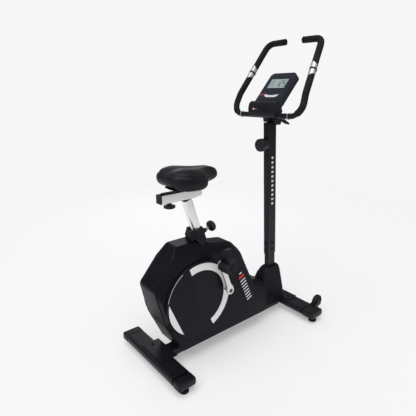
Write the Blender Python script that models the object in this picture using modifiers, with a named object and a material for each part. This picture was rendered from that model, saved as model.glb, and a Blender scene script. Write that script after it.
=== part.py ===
"""Upright magnetic exercise bike, built from separate pieces.

Metres, +Z up. +X points the way the rider faces and +Y to the rider's left.
The floor is Z = 0, and the origin is the middle of the footprint.
"""

import math

import bmesh
import bpy
from mathutils import Matrix, Vector

# ---------------------------------------------------------------- driving dimensions
GAP = 0.0003                    # room left between touching pieces
FOOTPRINT_SHIFT = -0.02825      # brings the middle of the footprint to the origin

WHEELBASE = 0.828               # rear bar to front bar, centre to centre
BAR_WIDTH = 0.088
BAR_LOW, BAR_HIGH = 0.030, 0.066
REAR_BAR_HALF = 0.235
FRONT_BAR_HALF = 0.256
REAR_CAP_LENGTH = 0.050
FRONT_CAP_LENGTH = 0.072
FOOT_RADIUS = 0.021
WHEEL_RADIUS = 0.035
WHEEL_WIDTH = 0.020
WHEEL_MIDDLE = 0.200
WHEEL_CENTRE = Vector((0.480, 0.0, 0.0790))

SPINE_WIDTH = 0.060
PLATE_THICK = 0.004

BB = Vector((-0.0905, 0.0, 0.310))          # crank axle
SEAT_LEAN = math.radians(18.7)              # seat tube leans back
CRANK_LENGTH = 0.155
CRANK_LEAN = math.radians(20.5)             # right crank at rest, back from straight up
CRANK_INNER, CRANK_OUTER = 0.118, 0.130
AXLE_RADIUS = 0.010

PEDAL_LENGTH, PEDAL_WIDTH, PEDAL_THICK = 0.062, 0.060, 0.040
PEDAL_START = 0.1345
STRAP_HALF = 0.018
SPINDLE_RADIUS = 0.006

FLYWHEEL = Vector((-0.258, 0.0, 0.300))
FLYWHEEL_RADIUS = 0.120
PULLEY_RADIUS = 0.085
DRIVEN_RADIUS = 0.020
BELT_LOW, BELT_HIGH = -0.036, -0.022

DISC = Vector((-0.237, 0.0, 0.306))         # round cover on each side of the casing
DISC_RADIUS = 0.174
DISC_FACE = 0.0950
CASING_SIDE = 0.0820
CASING_WALL = 0.0025

MAST_FOOT = Vector((0.3250, 0.0, 0.062))
MAST_LEAN = math.radians(3.43)
MAST_DEEP, MAST_WIDE, MAST_WALL = 0.063, 0.031, 0.0025
MAST_START, MAST_END = 0.2835, 0.9675       # along the mast's own axis
STUB_DEEP, STUB_WIDE = 0.0570, 0.0250

POST_DEEP, POST_WIDE = 0.040, 0.030
POST_START, POST_END = 0.155, 0.4465        # along the seat tube's own axis
TUBE_DEEP, TUBE_WIDE, TUBE_TOP = 0.046, 0.036, 0.288
PIN_HEIGHT = 0.265

RAIL_REAR, RAIL_FRONT = -0.366, -0.164
RAIL_LOW, RAIL_HIGH, RAIL_WIDE = 0.7380, 0.7745, 0.036

BAR_AXIS = Vector((0.225, 0.0, 1.062))      # handlebar's cross piece
HANDLE_RADIUS = 0.0125
GRIP_RADIUS = 0.0153

CONSOLE_LOW = Vector((0.236, 0.0, 1.120))   # lower edge of the console's face
CONSOLE_HIGH = Vector((0.3555, 0.0, 1.2525))
CONSOLE_HALF = 0.077
CONSOLE_DEEP = 0.032

KNOB_HEIGHT = 0.9275                        # resistance knob on the mast


# ---------------------------------------------------------------- scene and materials
def clear_scene():
    for item in list(bpy.data.objects):
        bpy.data.objects.remove(item, do_unlink=True)


def collection(name):
    made = bpy.data.collections.new(name)
    bpy.context.scene.collection.children.link(made)
    return made


def material(name, colour, roughness, metallic=0.0):
    made = bpy.data.materials.new(name)
    made.use_nodes = True
    shader = made.node_tree.nodes["Principled BSDF"]
    shader.inputs["Base Color"].default_value = (*colour, 1.0)
    shader.inputs["Roughness"].default_value = roughness
    shader.inputs["Metallic"].default_value = metallic
    return made


clear_scene()
PARTS = collection("exercise_bike")
CUTTERS = collection("cutters")

FRAME_PAINT = material("frame_paint", (0.020, 0.021, 0.024), 0.42)
MAST_PAINT = material("mast_paint", (0.022, 0.023, 0.026), 0.40)
CASING_PLASTIC = material("casing_plastic", (0.018, 0.019, 0.022), 0.45)
DISC_PLASTIC = material("disc_plastic", (0.014, 0.015, 0.018), 0.30)
CHROME = material("chromed_steel", (0.82, 0.82, 0.80), 0.22, 0.9)
CRANK_SILVER = material("crank_silver", (0.78, 0.78, 0.77), 0.30, 0.8)
BLACK_PLASTIC = material("black_plastic", (0.015, 0.015, 0.017), 0.50)
RUBBER = material("rubber", (0.012, 0.012, 0.013), 0.80)
VINYL = material("saddle_vinyl", (0.016, 0.017, 0.020), 0.55)
FOAM = material("grip_foam", (0.018, 0.018, 0.020), 0.85)
CONSOLE_PLASTIC = material("console_plastic", (0.030, 0.034, 0.045), 0.40)
DISPLAY = material("display_window", (0.55, 0.60, 0.56), 0.25)
BUTTON_RUBBER = material("button_rubber", (0.30, 0.05, 0.05), 0.60)
CAST_IRON = material("cast_iron", (0.10, 0.10, 0.11), 0.60, 0.6)
STEEL = material("bare_steel", (0.45, 0.45, 0.46), 0.35, 0.9)


# ---------------------------------------------------------------- frames of reference
def empty(name, location, rotation=(0.0, 0.0, 0.0), parent=None):
    made = bpy.data.objects.new(name, None)
    made.location = location
    made.rotation_euler = rotation
    made.parent = parent
    PARTS.objects.link(made)
    return made


BIKE = empty("bike_origin", (FOOTPRINT_SHIFT, 0.0, 0.0))
SEAT_AXIS = empty("seat_axis", BB, (0.0, -SEAT_LEAN, 0.0), BIKE)
MAST_AXIS = empty("mast_axis", MAST_FOOT, (0.0, -MAST_LEAN, 0.0), BIKE)
CRANK_AXIS = empty("crank_axis", BB, (0.0, 0.0, 0.0), BIKE)
FLYWHEEL_AXIS = empty("flywheel_axis", FLYWHEEL, (0.0, 0.0, 0.0), BIKE)
CONSOLE_TILT = math.atan2(CONSOLE_HIGH.x - CONSOLE_LOW.x, CONSOLE_HIGH.z - CONSOLE_LOW.z)
CONSOLE_AXIS = empty("console_axis", CONSOLE_LOW, (0.0, CONSOLE_TILT, 0.0), BIKE)


# ---------------------------------------------------------------- modelling helpers
def adopt(obj, name, skin, parent=None, cutter=False):
    """Name an object, give it its material, parent it and file it in its collection."""
    obj.name = name
    obj.data.name = name
    for owner in list(obj.users_collection):
        owner.objects.unlink(obj)
    (CUTTERS if cutter else PARTS).objects.link(obj)
    obj.parent = parent if parent else BIKE
    if cutter:
        obj.hide_render = True
        obj.display_type = "WIRE"
    else:
        obj.data.materials.clear()
        obj.data.materials.append(skin)
    return obj


def smooth(obj, angle=35.0):
    obj.data.shade_smooth()
    obj.data.set_sharp_from_angle(angle=math.radians(angle))
    return obj


def bevel(obj, width, segments=2, angle=30.0):
    step = obj.modifiers.new("bevel", "BEVEL")
    step.width = width
    step.segments = segments
    step.limit_method = "ANGLE"
    step.angle_limit = math.radians(angle)
    return obj


def apply_scale(obj):
    obj.data.transform(Matrix.Diagonal((*obj.scale, 1.0)))
    obj.scale = (1.0, 1.0, 1.0)
    return obj


def box(name, size, location, skin=None, parent=None, rotation=(0.0, 0.0, 0.0), edge=0.0,
        segments=2, cutter=False):
    bpy.ops.mesh.primitive_cube_add(size=1.0)
    obj = bpy.context.object
    obj.scale = size
    apply_scale(obj)
    obj.location = location
    obj.rotation_euler = rotation
    adopt(obj, name, skin, parent, cutter)
    if edge:
        bevel(obj, edge, segments)
    return obj


AXIS_TURN = {
    "x": (0.0, math.pi / 2, 0.0),
    "y": (math.pi / 2, 0.0, 0.0),
    "z": (0.0, 0.0, 0.0),
}


def rod(name, radius, length, location, axis="y", skin=None, parent=None, edge=0.0, sides=24,
        cutter=False):
    bpy.ops.mesh.primitive_cylinder_add(vertices=sides, radius=radius, depth=length)
    obj = bpy.context.object
    obj.location = location
    obj.rotation_euler = AXIS_TURN[axis]
    adopt(obj, name, skin, parent, cutter)
    if edge:
        bevel(obj, edge, 2, 60.0)
    return smooth(obj)


def turned(name, profile, location, rotation=(0.0, 0.0, 0.0), skin=None, parent=None, steps=32,
           closed=False):
    """Spin a profile of (radius, height) points, listed top to bottom, about its own Z."""
    mesh = bpy.data.meshes.new(name)
    shape = bmesh.new()
    points = [shape.verts.new((radius, 0.0, height)) for radius, height in profile]
    for first, second in zip(points, points[1:]):
        shape.edges.new((first, second))
    if closed:
        shape.edges.new((points[-1], points[0]))
    shape.to_mesh(mesh)
    shape.free()
    obj = bpy.data.objects.new(name, mesh)
    PARTS.objects.link(obj)
    obj.location = location
    obj.rotation_euler = rotation
    adopt(obj, name, skin, parent)
    spin = obj.modifiers.new("spin", "SCREW")
    spin.steps = steps
    spin.render_steps = steps
    spin.use_merge_vertices = True
    spin.merge_threshold = 0.0001
    spin.use_smooth_shade = True
    return obj


def fillet(corners, steps, closed=False):
    """Round each (point, radius) corner of a path, in two or three dimensions."""
    count = len(corners)
    path = []
    for index, (point, radius) in enumerate(corners):
        point = Vector(point)
        at_end = not closed and index in (0, count - 1)
        if radius == 0.0 or at_end:
            path.append(point)
            continue
        before = (Vector(corners[index - 1][0]) - point).normalized()
        after = (Vector(corners[(index + 1) % count][0]) - point).normalized()
        half = before.angle(after) / 2
        reach = radius / math.tan(half)
        centre = point + (before + after).normalized() * (radius / math.sin(half))
        start = point + before * reach - centre
        sweep = math.pi - 2 * half
        outward = start.normalized()
        along = -before
        for step in range(steps + 1):
            turn = sweep * step / steps
            path.append(centre + (outward * math.cos(turn) + along * math.sin(turn)) * radius)
    return path


def outline_plate(name, points, thickness, location, rotation, skin=None, parent=None,
                  cutter=False):
    """A flat outline in its own XY plane, given a thickness along its own Z."""
    curve = bpy.data.curves.new(name, "CURVE")
    curve.dimensions = "2D"
    curve.fill_mode = "BOTH"
    curve.extrude = thickness / 2
    spline = curve.splines.new("POLY")
    spline.points.add(len(points) - 1)
    for target, point in zip(spline.points, points):
        target.co = (point[0], point[1], 0.0, 1.0)
    spline.use_cyclic_u = True
    obj = curve_to_mesh(name, curve)
    obj.location = location
    obj.rotation_euler = rotation
    return adopt(obj, name, skin, parent, cutter)


def curve_to_mesh(name, curve):
    """Turn a curve into a closed mesh object, its caps welded on."""
    guide = bpy.data.objects.new(name + "_curve", curve)
    PARTS.objects.link(guide)
    bpy.context.view_layer.update()
    evaluated = guide.evaluated_get(bpy.context.evaluated_depsgraph_get())
    mesh = bpy.data.meshes.new_from_object(evaluated)
    shape = bmesh.new()
    shape.from_mesh(mesh)
    bmesh.ops.remove_doubles(shape, verts=shape.verts, dist=0.00001)
    bmesh.ops.recalc_face_normals(shape, faces=shape.faces)
    shape.to_mesh(mesh)
    shape.free()
    obj = bpy.data.objects.new(name, mesh)
    PARTS.objects.link(obj)
    bpy.data.objects.remove(guide, do_unlink=True)
    bpy.data.curves.remove(curve)
    return obj


def pipe(name, points, radius, skin=None, parent=None, resolution=3, cutter=False):
    curve = bpy.data.curves.new(name, "CURVE")
    curve.dimensions = "3D"
    curve.bevel_depth = radius
    curve.bevel_resolution = resolution
    curve.use_fill_caps = True
    spline = curve.splines.new("POLY")
    spline.points.add(len(points) - 1)
    for target, point in zip(spline.points, points):
        target.co = (*point, 1.0)
    obj = curve_to_mesh(name, curve)
    adopt(obj, name, skin, parent, cutter)
    return smooth(obj)


def rounded_rectangle(deep, wide, radius, steps=3):
    corners = [
        ((deep / 2, wide / 2), radius),
        ((-deep / 2, wide / 2), radius),
        ((-deep / 2, -wide / 2), radius),
        ((deep / 2, -wide / 2), radius),
    ]
    return fillet(corners, steps, closed=True)


def box_tube(name, deep, wide, wall, radius, start, end, location, rotation, skin, parent=None,
             cutter=False):
    """An open-ended rounded rectangular tube along its own Z, from start to end."""
    mesh = bpy.data.meshes.new(name)
    shape = bmesh.new()
    rings = []
    for height in (start, end):
        ring = [shape.verts.new((p[0], p[1], height)) for p in rounded_rectangle(deep, wide, radius)]
        rings.append(ring)
    count = len(rings[0])
    for index in range(count):
        following = (index + 1) % count
        low, high = rings
        shape.faces.new((low[index], low[following], high[following], high[index]))
    shape.to_mesh(mesh)
    shape.free()
    obj = bpy.data.objects.new(name, mesh)
    PARTS.objects.link(obj)
    obj.location = location
    obj.rotation_euler = rotation
    adopt(obj, name, skin, parent, cutter)
    skin_step = obj.modifiers.new("wall", "SOLIDIFY")
    skin_step.thickness = wall
    skin_step.offset = -1.0
    skin_step.use_even_offset = True
    return smooth(obj)


def loft(name, rings, capped, skin, parent=None):
    """Join rings of the same number of points into one surface, closed at the last ring."""
    mesh = bpy.data.meshes.new(name)
    shape = bmesh.new()
    rows = [[shape.verts.new(point) for point in ring] for ring in rings]
    count = len(rows[0])
    for low, high in zip(rows, rows[1:]):
        for index in range(count):
            following = (index + 1) % count
            shape.faces.new((low[index], low[following], high[following], high[index]))
    if capped:
        shape.faces.new(rows[-1])
    shape.to_mesh(mesh)
    shape.free()
    obj = bpy.data.objects.new(name, mesh)
    PARTS.objects.link(obj)
    adopt(obj, name, skin, parent)
    return smooth(obj)


def thicken(obj, thickness, offset=-1.0):
    step = obj.modifiers.new("wall", "SOLIDIFY")
    step.thickness = thickness
    step.offset = offset
    step.use_even_offset = True
    return obj


def cut(obj, *cutters, operation="DIFFERENCE"):
    for cutter in cutters:
        step = obj.modifiers.new(cutter.name, "BOOLEAN")
        step.operation = operation
        step.solver = "EXACT"
        step.object = cutter
    return obj


def join(obj, *others):
    return cut(obj, *others, operation="UNION")


def flip(obj):
    """Turn a mesh's faces the other way out."""
    obj.data.flip_normals()
    return obj


# ---------------------------------------------------------------- base
def make_base():
    half_base = WHEELBASE / 2
    bar_middle = (BAR_LOW + BAR_HIGH) / 2
    bar_tall = BAR_HIGH - BAR_LOW

    spine_length = WHEELBASE - BAR_WIDTH - 2 * GAP
    box_tube(
        "spine_tube", 0.036, SPINE_WIDTH, 0.003, 0.006, -spine_length / 2, spine_length / 2,
        (0.0, 0.0, 0.044), (0.0, math.pi / 2, 0.0), FRAME_PAINT,
    )
    for end, x, half, cap_length in (
        ("rear", -half_base, REAR_BAR_HALF, REAR_CAP_LENGTH),
        ("front", half_base, FRONT_BAR_HALF, FRONT_CAP_LENGTH),
    ):
        tube_half = half - cap_length
        box_tube(
            end + "_stabilizer", BAR_WIDTH, bar_tall, 0.0025, 0.012, -tube_half, tube_half,
            (x, 0.0, bar_middle), (math.pi / 2, 0.0, 0.0), FRAME_PAINT,
        )
        for side, sign in (("left", 1), ("right", -1)):
            make_bar_cap(end, side, sign, x, half, cap_length)
            make_foot(end, side, (x, sign * (half - 0.030), 0.0))

    box(
        "rear_mount_plate", (0.086, 0.156, PLATE_THICK),
        (-0.397, 0.0, BAR_HIGH + GAP + PLATE_THICK / 2), FRAME_PAINT, edge=0.0012,
    )
    box(
        "front_mount_plate", (0.068, 0.170, PLATE_THICK),
        (0.4200, 0.0, BAR_HIGH + GAP + PLATE_THICK / 2), FRAME_PAINT, edge=0.0012,
    )


def make_bar_cap(end, side, sign, x, half, cap_length):
    name = end + "_cap_" + side
    cap = box(
        name, (BAR_WIDTH + 0.001, cap_length - GAP, BAR_HIGH - BAR_LOW + 0.002),
        (x, sign * (half - (cap_length - GAP) / 2), (BAR_LOW + BAR_HIGH) / 2 - 0.001),
        BLACK_PLASTIC, edge=0.010, segments=2,
    )
    if end == "front":
        for place, offset in (("inner", -1), ("outer", 1)):
            cheek = box(
                name + "_cheek_" + place, (0.064, 0.0040, 0.026),
                (x + 0.052, sign * (WHEEL_MIDDLE + offset * 0.0135), 0.064),
                rotation=(0.0, math.radians(-22.0), 0.0), cutter=True,
            )
            join(cap, cheek)
        pocket = rod(
            name + "_wheel_pocket", WHEEL_RADIUS + 0.0015, WHEEL_WIDTH + 0.0024,
            (WHEEL_CENTRE.x, sign * WHEEL_MIDDLE, WHEEL_CENTRE.z), sides=32, cutter=True,
        )
        cut(cap, pocket)
        make_wheel(side, sign)
    return cap


def make_wheel(side, sign):
    """Transport wheel: it turns on a pin between the two cheeks of a front cap."""
    axis = empty(
        "transport_wheel_axis_" + side,
        (WHEEL_CENTRE.x, sign * WHEEL_MIDDLE, WHEEL_CENTRE.z), (math.pi / 2, 0.0, 0.0), BIKE,
    )
    half = WHEEL_WIDTH / 2
    profile = [
        (0.0, half), (0.010, half), (0.012, half - 0.003), (WHEEL_RADIUS - 0.006, half - 0.003),
        (WHEEL_RADIUS - 0.003, half - 0.001), (WHEEL_RADIUS, half - 0.004),
        (WHEEL_RADIUS, -half + 0.004), (WHEEL_RADIUS - 0.003, -half + 0.001),
        (WHEEL_RADIUS - 0.006, -half + 0.003), (0.012, -half + 0.003), (0.010, -half),
        (0.0, -half),
    ]
    return turned(
        "transport_wheel_" + side, profile, (0.0, 0.0, 0.0), (0.0, 0.0, 0.0), RUBBER, axis, 28,
    )


def make_foot(end, side, location):
    top = BAR_LOW - 0.002 - GAP
    profile = [
        (0.0, top), (0.007, top), (0.007, 0.015), (FOOT_RADIUS - 0.002, 0.012),
        (FOOT_RADIUS, 0.009), (FOOT_RADIUS, 0.001), (FOOT_RADIUS - 0.001, 0.0), (0.0, 0.0),
    ]
    return turned(end + "_foot_" + side, profile, location, skin=RUBBER, steps=24)


# ---------------------------------------------------------------- casing
RIM = [
    ((-0.3220, 0.0680), 0.012), ((-0.402, 0.222), 0.100), ((-0.451, 0.397), 0.030),
    ((-0.321, 0.552), 0.026), ((-0.208, 0.552), 0.040), ((-0.115, 0.519), 0.060),
    ((-0.016, 0.503), 0.060), ((0.042, 0.445), 0.050), ((0.128, 0.261), 0.050),
    ((0.211, 0.229), 0.012), ((0.211, 0.0680), 0.010),
]
SHOULDER = [
    ((-0.3230, 0.0690), 0.012), ((-0.402, 0.223), 0.100), ((-0.447, 0.395), 0.028),
    ((-0.352, 0.505), 0.026), ((-0.225, 0.535), 0.040), ((-0.125, 0.510), 0.060),
    ((-0.022, 0.493), 0.060), ((0.035, 0.437), 0.050), ((0.121, 0.254), 0.050),
    ((0.208, 0.220), 0.012), ((0.208, 0.0690), 0.010),
]
SIDE = [
    ((-0.328, 0.076), 0.012), ((-0.400, 0.235), 0.080), ((-0.427, 0.352), 0.040),
    ((-0.352, 0.464), 0.040), ((-0.262, 0.502), 0.050), ((-0.150, 0.494), 0.060),
    ((-0.035, 0.464), 0.060), ((0.027, 0.410), 0.050), ((0.112, 0.245), 0.050),
    ((0.203, 0.205), 0.012), ((0.203, 0.076), 0.010),
]
RIM_HALF = 0.036
SHOULDER_HALF = 0.058


def casing_ring(corners, y):
    return [(point.x, y, point.y) for point in fillet(corners, 3, closed=True)]


def make_casing(side, sign):
    rings = [
        casing_ring(RIM, sign * GAP / 2),
        casing_ring(RIM, sign * RIM_HALF),
        casing_ring(SHOULDER, sign * SHOULDER_HALF),
        casing_ring(SIDE, sign * CASING_SIDE),
    ]
    shell = loft("casing_" + side, rings, True, CASING_PLASTIC)
    if sign < 0:
        flip(shell)
    thicken(shell, CASING_WALL)
    collar_way = box(
        "casing_collar_way_" + side, (COLLAR_DEEP + 0.0012, COLLAR_WIDE + 0.0012, 0.20),
        (-0.0010, 0.0, 0.290), parent=SEAT_AXIS, edge=0.006, cutter=True,
    )
    axle_way = rod(
        "casing_axle_way_" + side, 0.016, 0.08, (BB.x, sign * 0.080, BB.z), cutter=True,
    )
    floor_way = box(
        "casing_floor_way_" + side, (0.52, 0.116, 0.022), (-0.058, 0.0, 0.068), cutter=True,
    )
    front_way = box(
        "casing_front_way_" + side, (0.03, 0.050, 0.11), (0.211, 0.0, 0.137), cutter=True,
    )
    cut(shell, collar_way, axle_way, floor_way, front_way)
    return shell


def make_disc(side, sign):
    thick = DISC_FACE - CASING_SIDE - GAP
    disc = rod(
        "disc_cover_" + side, DISC_RADIUS, thick,
        (DISC.x, sign * (CASING_SIDE + GAP + thick / 2), DISC.z),
        skin=DISC_PLASTIC, edge=0.004, sides=56,
    )
    axle_way = rod(
        "disc_axle_way_" + side, 0.016, 0.06, (BB.x, sign * 0.090, BB.z), cutter=True,
    )
    return cut(disc, axle_way)


# ---------------------------------------------------------------- drive
def make_drive():
    rod("crank_axle", AXLE_RADIUS, 0.256, (0.0, 0.0, 0.0), skin=STEEL, parent=CRANK_AXIS,
        edge=0.001)
    middle = (BELT_LOW + BELT_HIGH) / 2
    half = (BELT_HIGH - BELT_LOW) / 2
    pulley_profile = [
        (PULLEY_RADIUS, half), (PULLEY_RADIUS, half - 0.001), (PULLEY_RADIUS - 0.004, half - 0.002),
        (PULLEY_RADIUS - 0.004, -half + 0.002), (PULLEY_RADIUS, -half + 0.001),
        (PULLEY_RADIUS, -half), (PULLEY_RADIUS - 0.012, -half), (PULLEY_RADIUS - 0.014, -0.002),
        (0.024, -0.002), (0.022, -half), (AXLE_RADIUS + GAP, -half), (AXLE_RADIUS + GAP, half),
        (0.022, half), (0.024, 0.002), (PULLEY_RADIUS - 0.014, 0.002),
        (PULLEY_RADIUS - 0.012, half),
    ]
    turned(
        "drive_pulley", pulley_profile, (0.0, middle, 0.0), (math.pi / 2, 0.0, 0.0),
        BLACK_PLASTIC, CRANK_AXIS, 28, closed=True,
    )
    make_flywheel(middle)
    make_belt(middle)
    for side, sign, lean in (("right", -1, CRANK_LEAN), ("left", 1, CRANK_LEAN + math.pi)):
        make_crank(side, sign, lean)
        make_pedal(side, sign, lean)


def make_flywheel(belt_middle):
    """Iron rim and web on the left, with the small belt pulley on the same hub."""
    rim_low, rim_high = 0.024, 0.046
    groove_low = belt_middle - 0.005
    groove_high = belt_middle + 0.005
    hub = 0.014
    bore = 0.0064
    profile = [
        (hub, rim_high + 0.002), (hub, rim_high - 0.006), (FLYWHEEL_RADIUS - 0.020, rim_high - 0.006),
        (FLYWHEEL_RADIUS - 0.018, rim_high), (FLYWHEEL_RADIUS, rim_high),
        (FLYWHEEL_RADIUS, rim_low), (FLYWHEEL_RADIUS - 0.018, rim_low),
        (FLYWHEEL_RADIUS - 0.020, rim_low + 0.006), (hub, rim_low + 0.006), (hub, BELT_HIGH),
        (DRIVEN_RADIUS, BELT_HIGH), (DRIVEN_RADIUS - 0.003, groove_high),
        (DRIVEN_RADIUS - 0.003, groove_low), (DRIVEN_RADIUS, BELT_LOW), (bore, BELT_LOW),
        (bore, rim_high + 0.002),
    ]
    mirrored = [(radius, -height) for radius, height in reversed(profile)]
    turned(
        "flywheel", mirrored, (0.0, 0.0, 0.0), (math.pi / 2, 0.0, 0.0), CAST_IRON,
        FLYWHEEL_AXIS, 32, closed=True,
    )
    rod("flywheel_axle", 0.006, 0.112, (FLYWHEEL.x, 0.002, FLYWHEEL.z), skin=STEEL, edge=0.001,
        sides=16)
    bracket = box(
        "flywheel_bracket", (0.060, 0.108, 0.2560), (FLYWHEEL.x, 0.002, 0.1905), FRAME_PAINT,
    )
    upright = box(
        "flywheel_bracket_upright", (0.060, 0.004, 0.150), (FLYWHEEL.x, 0.054, 0.370), cutter=True,
    )
    pivot = rod(
        "flywheel_bracket_pivot", 0.005, 0.033, (MAGNET_PIVOT.x, 0.0365, MAGNET_PIVOT.z),
        sides=16, cutter=True,
    )
    inside = box(
        "flywheel_bracket_inside", (0.080, 0.100, 0.2560), (FLYWHEEL.x, 0.002, 0.1945), cutter=True,
    )
    axle_way = rod(
        "flywheel_bracket_axle_way", 0.0064, 0.14, (FLYWHEEL.x, 0.002, FLYWHEEL.z), sides=16,
        cutter=True,
    )
    join(bracket, upright)
    cut(bracket, inside, axle_way)
    join(bracket, pivot)


def make_belt(middle):
    """Closed flat belt round the two pulleys, a little outside their running surfaces."""
    inner_big = PULLEY_RADIUS - 0.004 + GAP
    inner_small = DRIVEN_RADIUS - 0.003 + GAP
    wide = 0.0075
    strands = []
    for thickness in (0.0, 0.0024):
        strands.append(belt_outline(inner_big + thickness, inner_small + thickness))
    belt = outline_plate(
        "drive_belt", strands[1], wide, (BB.x, middle, BB.z), (math.pi / 2, 0.0, 0.0), RUBBER,
    )
    hollow = outline_plate(
        "drive_belt_hollow", strands[0], wide * 2, (BB.x, middle, BB.z), (math.pi / 2, 0.0, 0.0),
        cutter=True,
    )
    cut(belt, hollow)


def belt_outline(big, small):
    """Open-belt outline about the crank axle, in its own XY plane, X forward and Y up."""
    span = Vector((FLYWHEEL.x - BB.x, FLYWHEEL.z - BB.z))
    heading = math.atan2(span.y, span.x)
    wrap = math.acos((big - small) / span.length)
    points = []
    steps_big, steps_small = 28, 12
    for step in range(steps_big + 1):
        turn = heading + wrap + (2 * math.pi - 2 * wrap) * step / steps_big
        points.append((big * math.cos(turn), big * math.sin(turn)))
    for step in range(steps_small + 1):
        turn = heading - wrap + 2 * wrap * step / steps_small
        points.append((span.x + small * math.cos(turn), span.y + small * math.sin(turn)))
    return points


def make_crank(side, sign, lean):
    """Forged arm with its pedal spindle; the arm's own +Y runs from axle to pedal."""
    boss, eye = 0.0170, 0.0150
    points = []
    taper = math.asin((boss - eye) / CRANK_LENGTH)
    steps = 10
    for step in range(steps + 1):
        turn = math.pi - taper + (math.pi + 2 * taper) * step / steps
        points.append((boss * math.cos(turn), boss * math.sin(turn)))
    for step in range(steps + 1):
        turn = taper + (math.pi - 2 * taper) * step / steps
        points.append((eye * math.cos(turn), CRANK_LENGTH + eye * math.sin(turn)))
    thick = CRANK_OUTER - CRANK_INNER
    centre = sign * (CRANK_INNER + thick / 2)
    arm = outline_plate(
        "crank_" + side, points, thick, (0.0, centre, 0.0), (0.0, 0.0, 0.0),
        CRANK_SILVER, CRANK_AXIS,
    )
    upright = Matrix.Rotation(-lean, 3, "Y") @ Matrix.Rotation(math.pi / 2, 3, "X")
    arm.rotation_euler = upright.to_euler()
    bore = rod(
        "crank_bore_" + side, AXLE_RADIUS + GAP, 0.05, (0.0, centre, 0.0), parent=CRANK_AXIS,
        cutter=True,
    )
    spindle_end = PEDAL_START + PEDAL_WIDTH - 0.012
    spindle = rod(
        "crank_spindle_" + side, SPINDLE_RADIUS, spindle_end - CRANK_INNER - 0.002,
        pedal_place(lean, sign * (spindle_end + CRANK_INNER + 0.002) / 2), parent=CRANK_AXIS,
        sides=16, cutter=True,
    )
    cut(arm, bore)
    join(arm, spindle)
    bevel(arm, 0.0015, 1, 50.0)
    return arm


def pedal_place(lean, y):
    return (-CRANK_LENGTH * math.sin(lean), y, CRANK_LENGTH * math.cos(lean))


def make_pedal(side, sign, lean):
    axis = empty("pedal_axis_" + side, pedal_place(lean, 0.0), (0.0, 0.0, 0.0), CRANK_AXIS)
    middle = sign * (PEDAL_START + PEDAL_WIDTH / 2)
    half_long, half_thick = PEDAL_LENGTH / 2, PEDAL_THICK / 2
    cross = [
        (half_long, 0.009), (half_long - 0.012, half_thick), (0.012 - half_long, half_thick),
        (-half_long, 0.009), (-half_long, -0.009), (0.012 - half_long, -half_thick),
        (half_long - 0.012, -half_thick), (half_long, -0.009),
    ]
    pedal = outline_plate("pedal_" + side, cross, PEDAL_WIDTH, (0.0, middle, 0.0),
                          (math.pi / 2, 0.0, 0.0), BLACK_PLASTIC, axis)
    bevel(pedal, 0.003, 2, 50.0)
    bore = rod(
        "pedal_bore_" + side, SPINDLE_RADIUS + 0.0006, PEDAL_WIDTH - 0.006,
        (0.0, middle - sign * 0.005, 0.0), parent=axis, sides=16, cutter=True,
    )
    cut(pedal, bore)
    make_strap(side, sign, axis)
    return pedal


def make_strap(side, sign, axis):
    """Toe strap: a band arched over the pedal from its inner to its outer edge."""
    inner = PEDAL_START + 0.006
    outer = PEDAL_START + PEDAL_WIDTH - 0.003
    low = PEDAL_THICK / 2 + GAP
    corners = [
        ((sign * inner, low), 0.0), ((sign * inner, 0.078), 0.022),
        ((sign * (outer - 0.006), 0.083), 0.020), ((sign * (outer + 0.002), 0.050), 0.030),
        ((sign * outer, low), 0.0),
    ]
    path = fillet(corners, 4)
    half = STRAP_HALF
    rings = [[(x, point.x, point.y) for point in path] for x in (-half, half)]
    mesh = bpy.data.meshes.new("toe_strap_" + side)
    shape = bmesh.new()
    rows = [[shape.verts.new(point) for point in ring] for ring in rings]
    for index in range(len(path) - 1):
        shape.faces.new((rows[0][index], rows[0][index + 1], rows[1][index + 1], rows[1][index]))
    shape.to_mesh(mesh)
    shape.free()
    strap = bpy.data.objects.new("toe_strap_" + side, mesh)
    PARTS.objects.link(strap)
    adopt(strap, "toe_strap_" + side, RUBBER, axis)
    return thicken(smooth(strap), 0.0024, 0.0)


# ---------------------------------------------------------------- seat
COLLAR_DEEP, COLLAR_WIDE = 0.0560, 0.0440


def make_seat_tube():
    """Rectangular seat tube through the bottom bracket shell, down to the spine."""
    tube = box_tube(
        "seat_tube", TUBE_DEEP, TUBE_WIDE, 0.0026, 0.007, -0.2520, TUBE_TOP,
        (0.0, 0.0, 0.0), (0.0, 0.0, 0.0), FRAME_PAINT, SEAT_AXIS,
    )
    shell = rod("bottom_bracket_shell", 0.022, 0.040, (0.0, 0.0, 0.0), parent=SEAT_AXIS,
                cutter=True)
    bore = rod("bottom_bracket_bore", AXLE_RADIUS + 0.0004, 0.06, (0.0, 0.0, 0.0),
               parent=SEAT_AXIS, cutter=True)
    below = box("seat_tube_floor", (0.2, 0.1, 0.1), (0.0, 0.0, 0.0623 - 0.05), cutter=True)
    pin_way = rod("seat_tube_pin_way", 0.0052, 0.03, (0.025, 0.0, PIN_HEIGHT), "x",
                  parent=SEAT_AXIS, sides=12, cutter=True)
    join(tube, shell)
    cut(tube, bore, below, pin_way)


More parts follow.
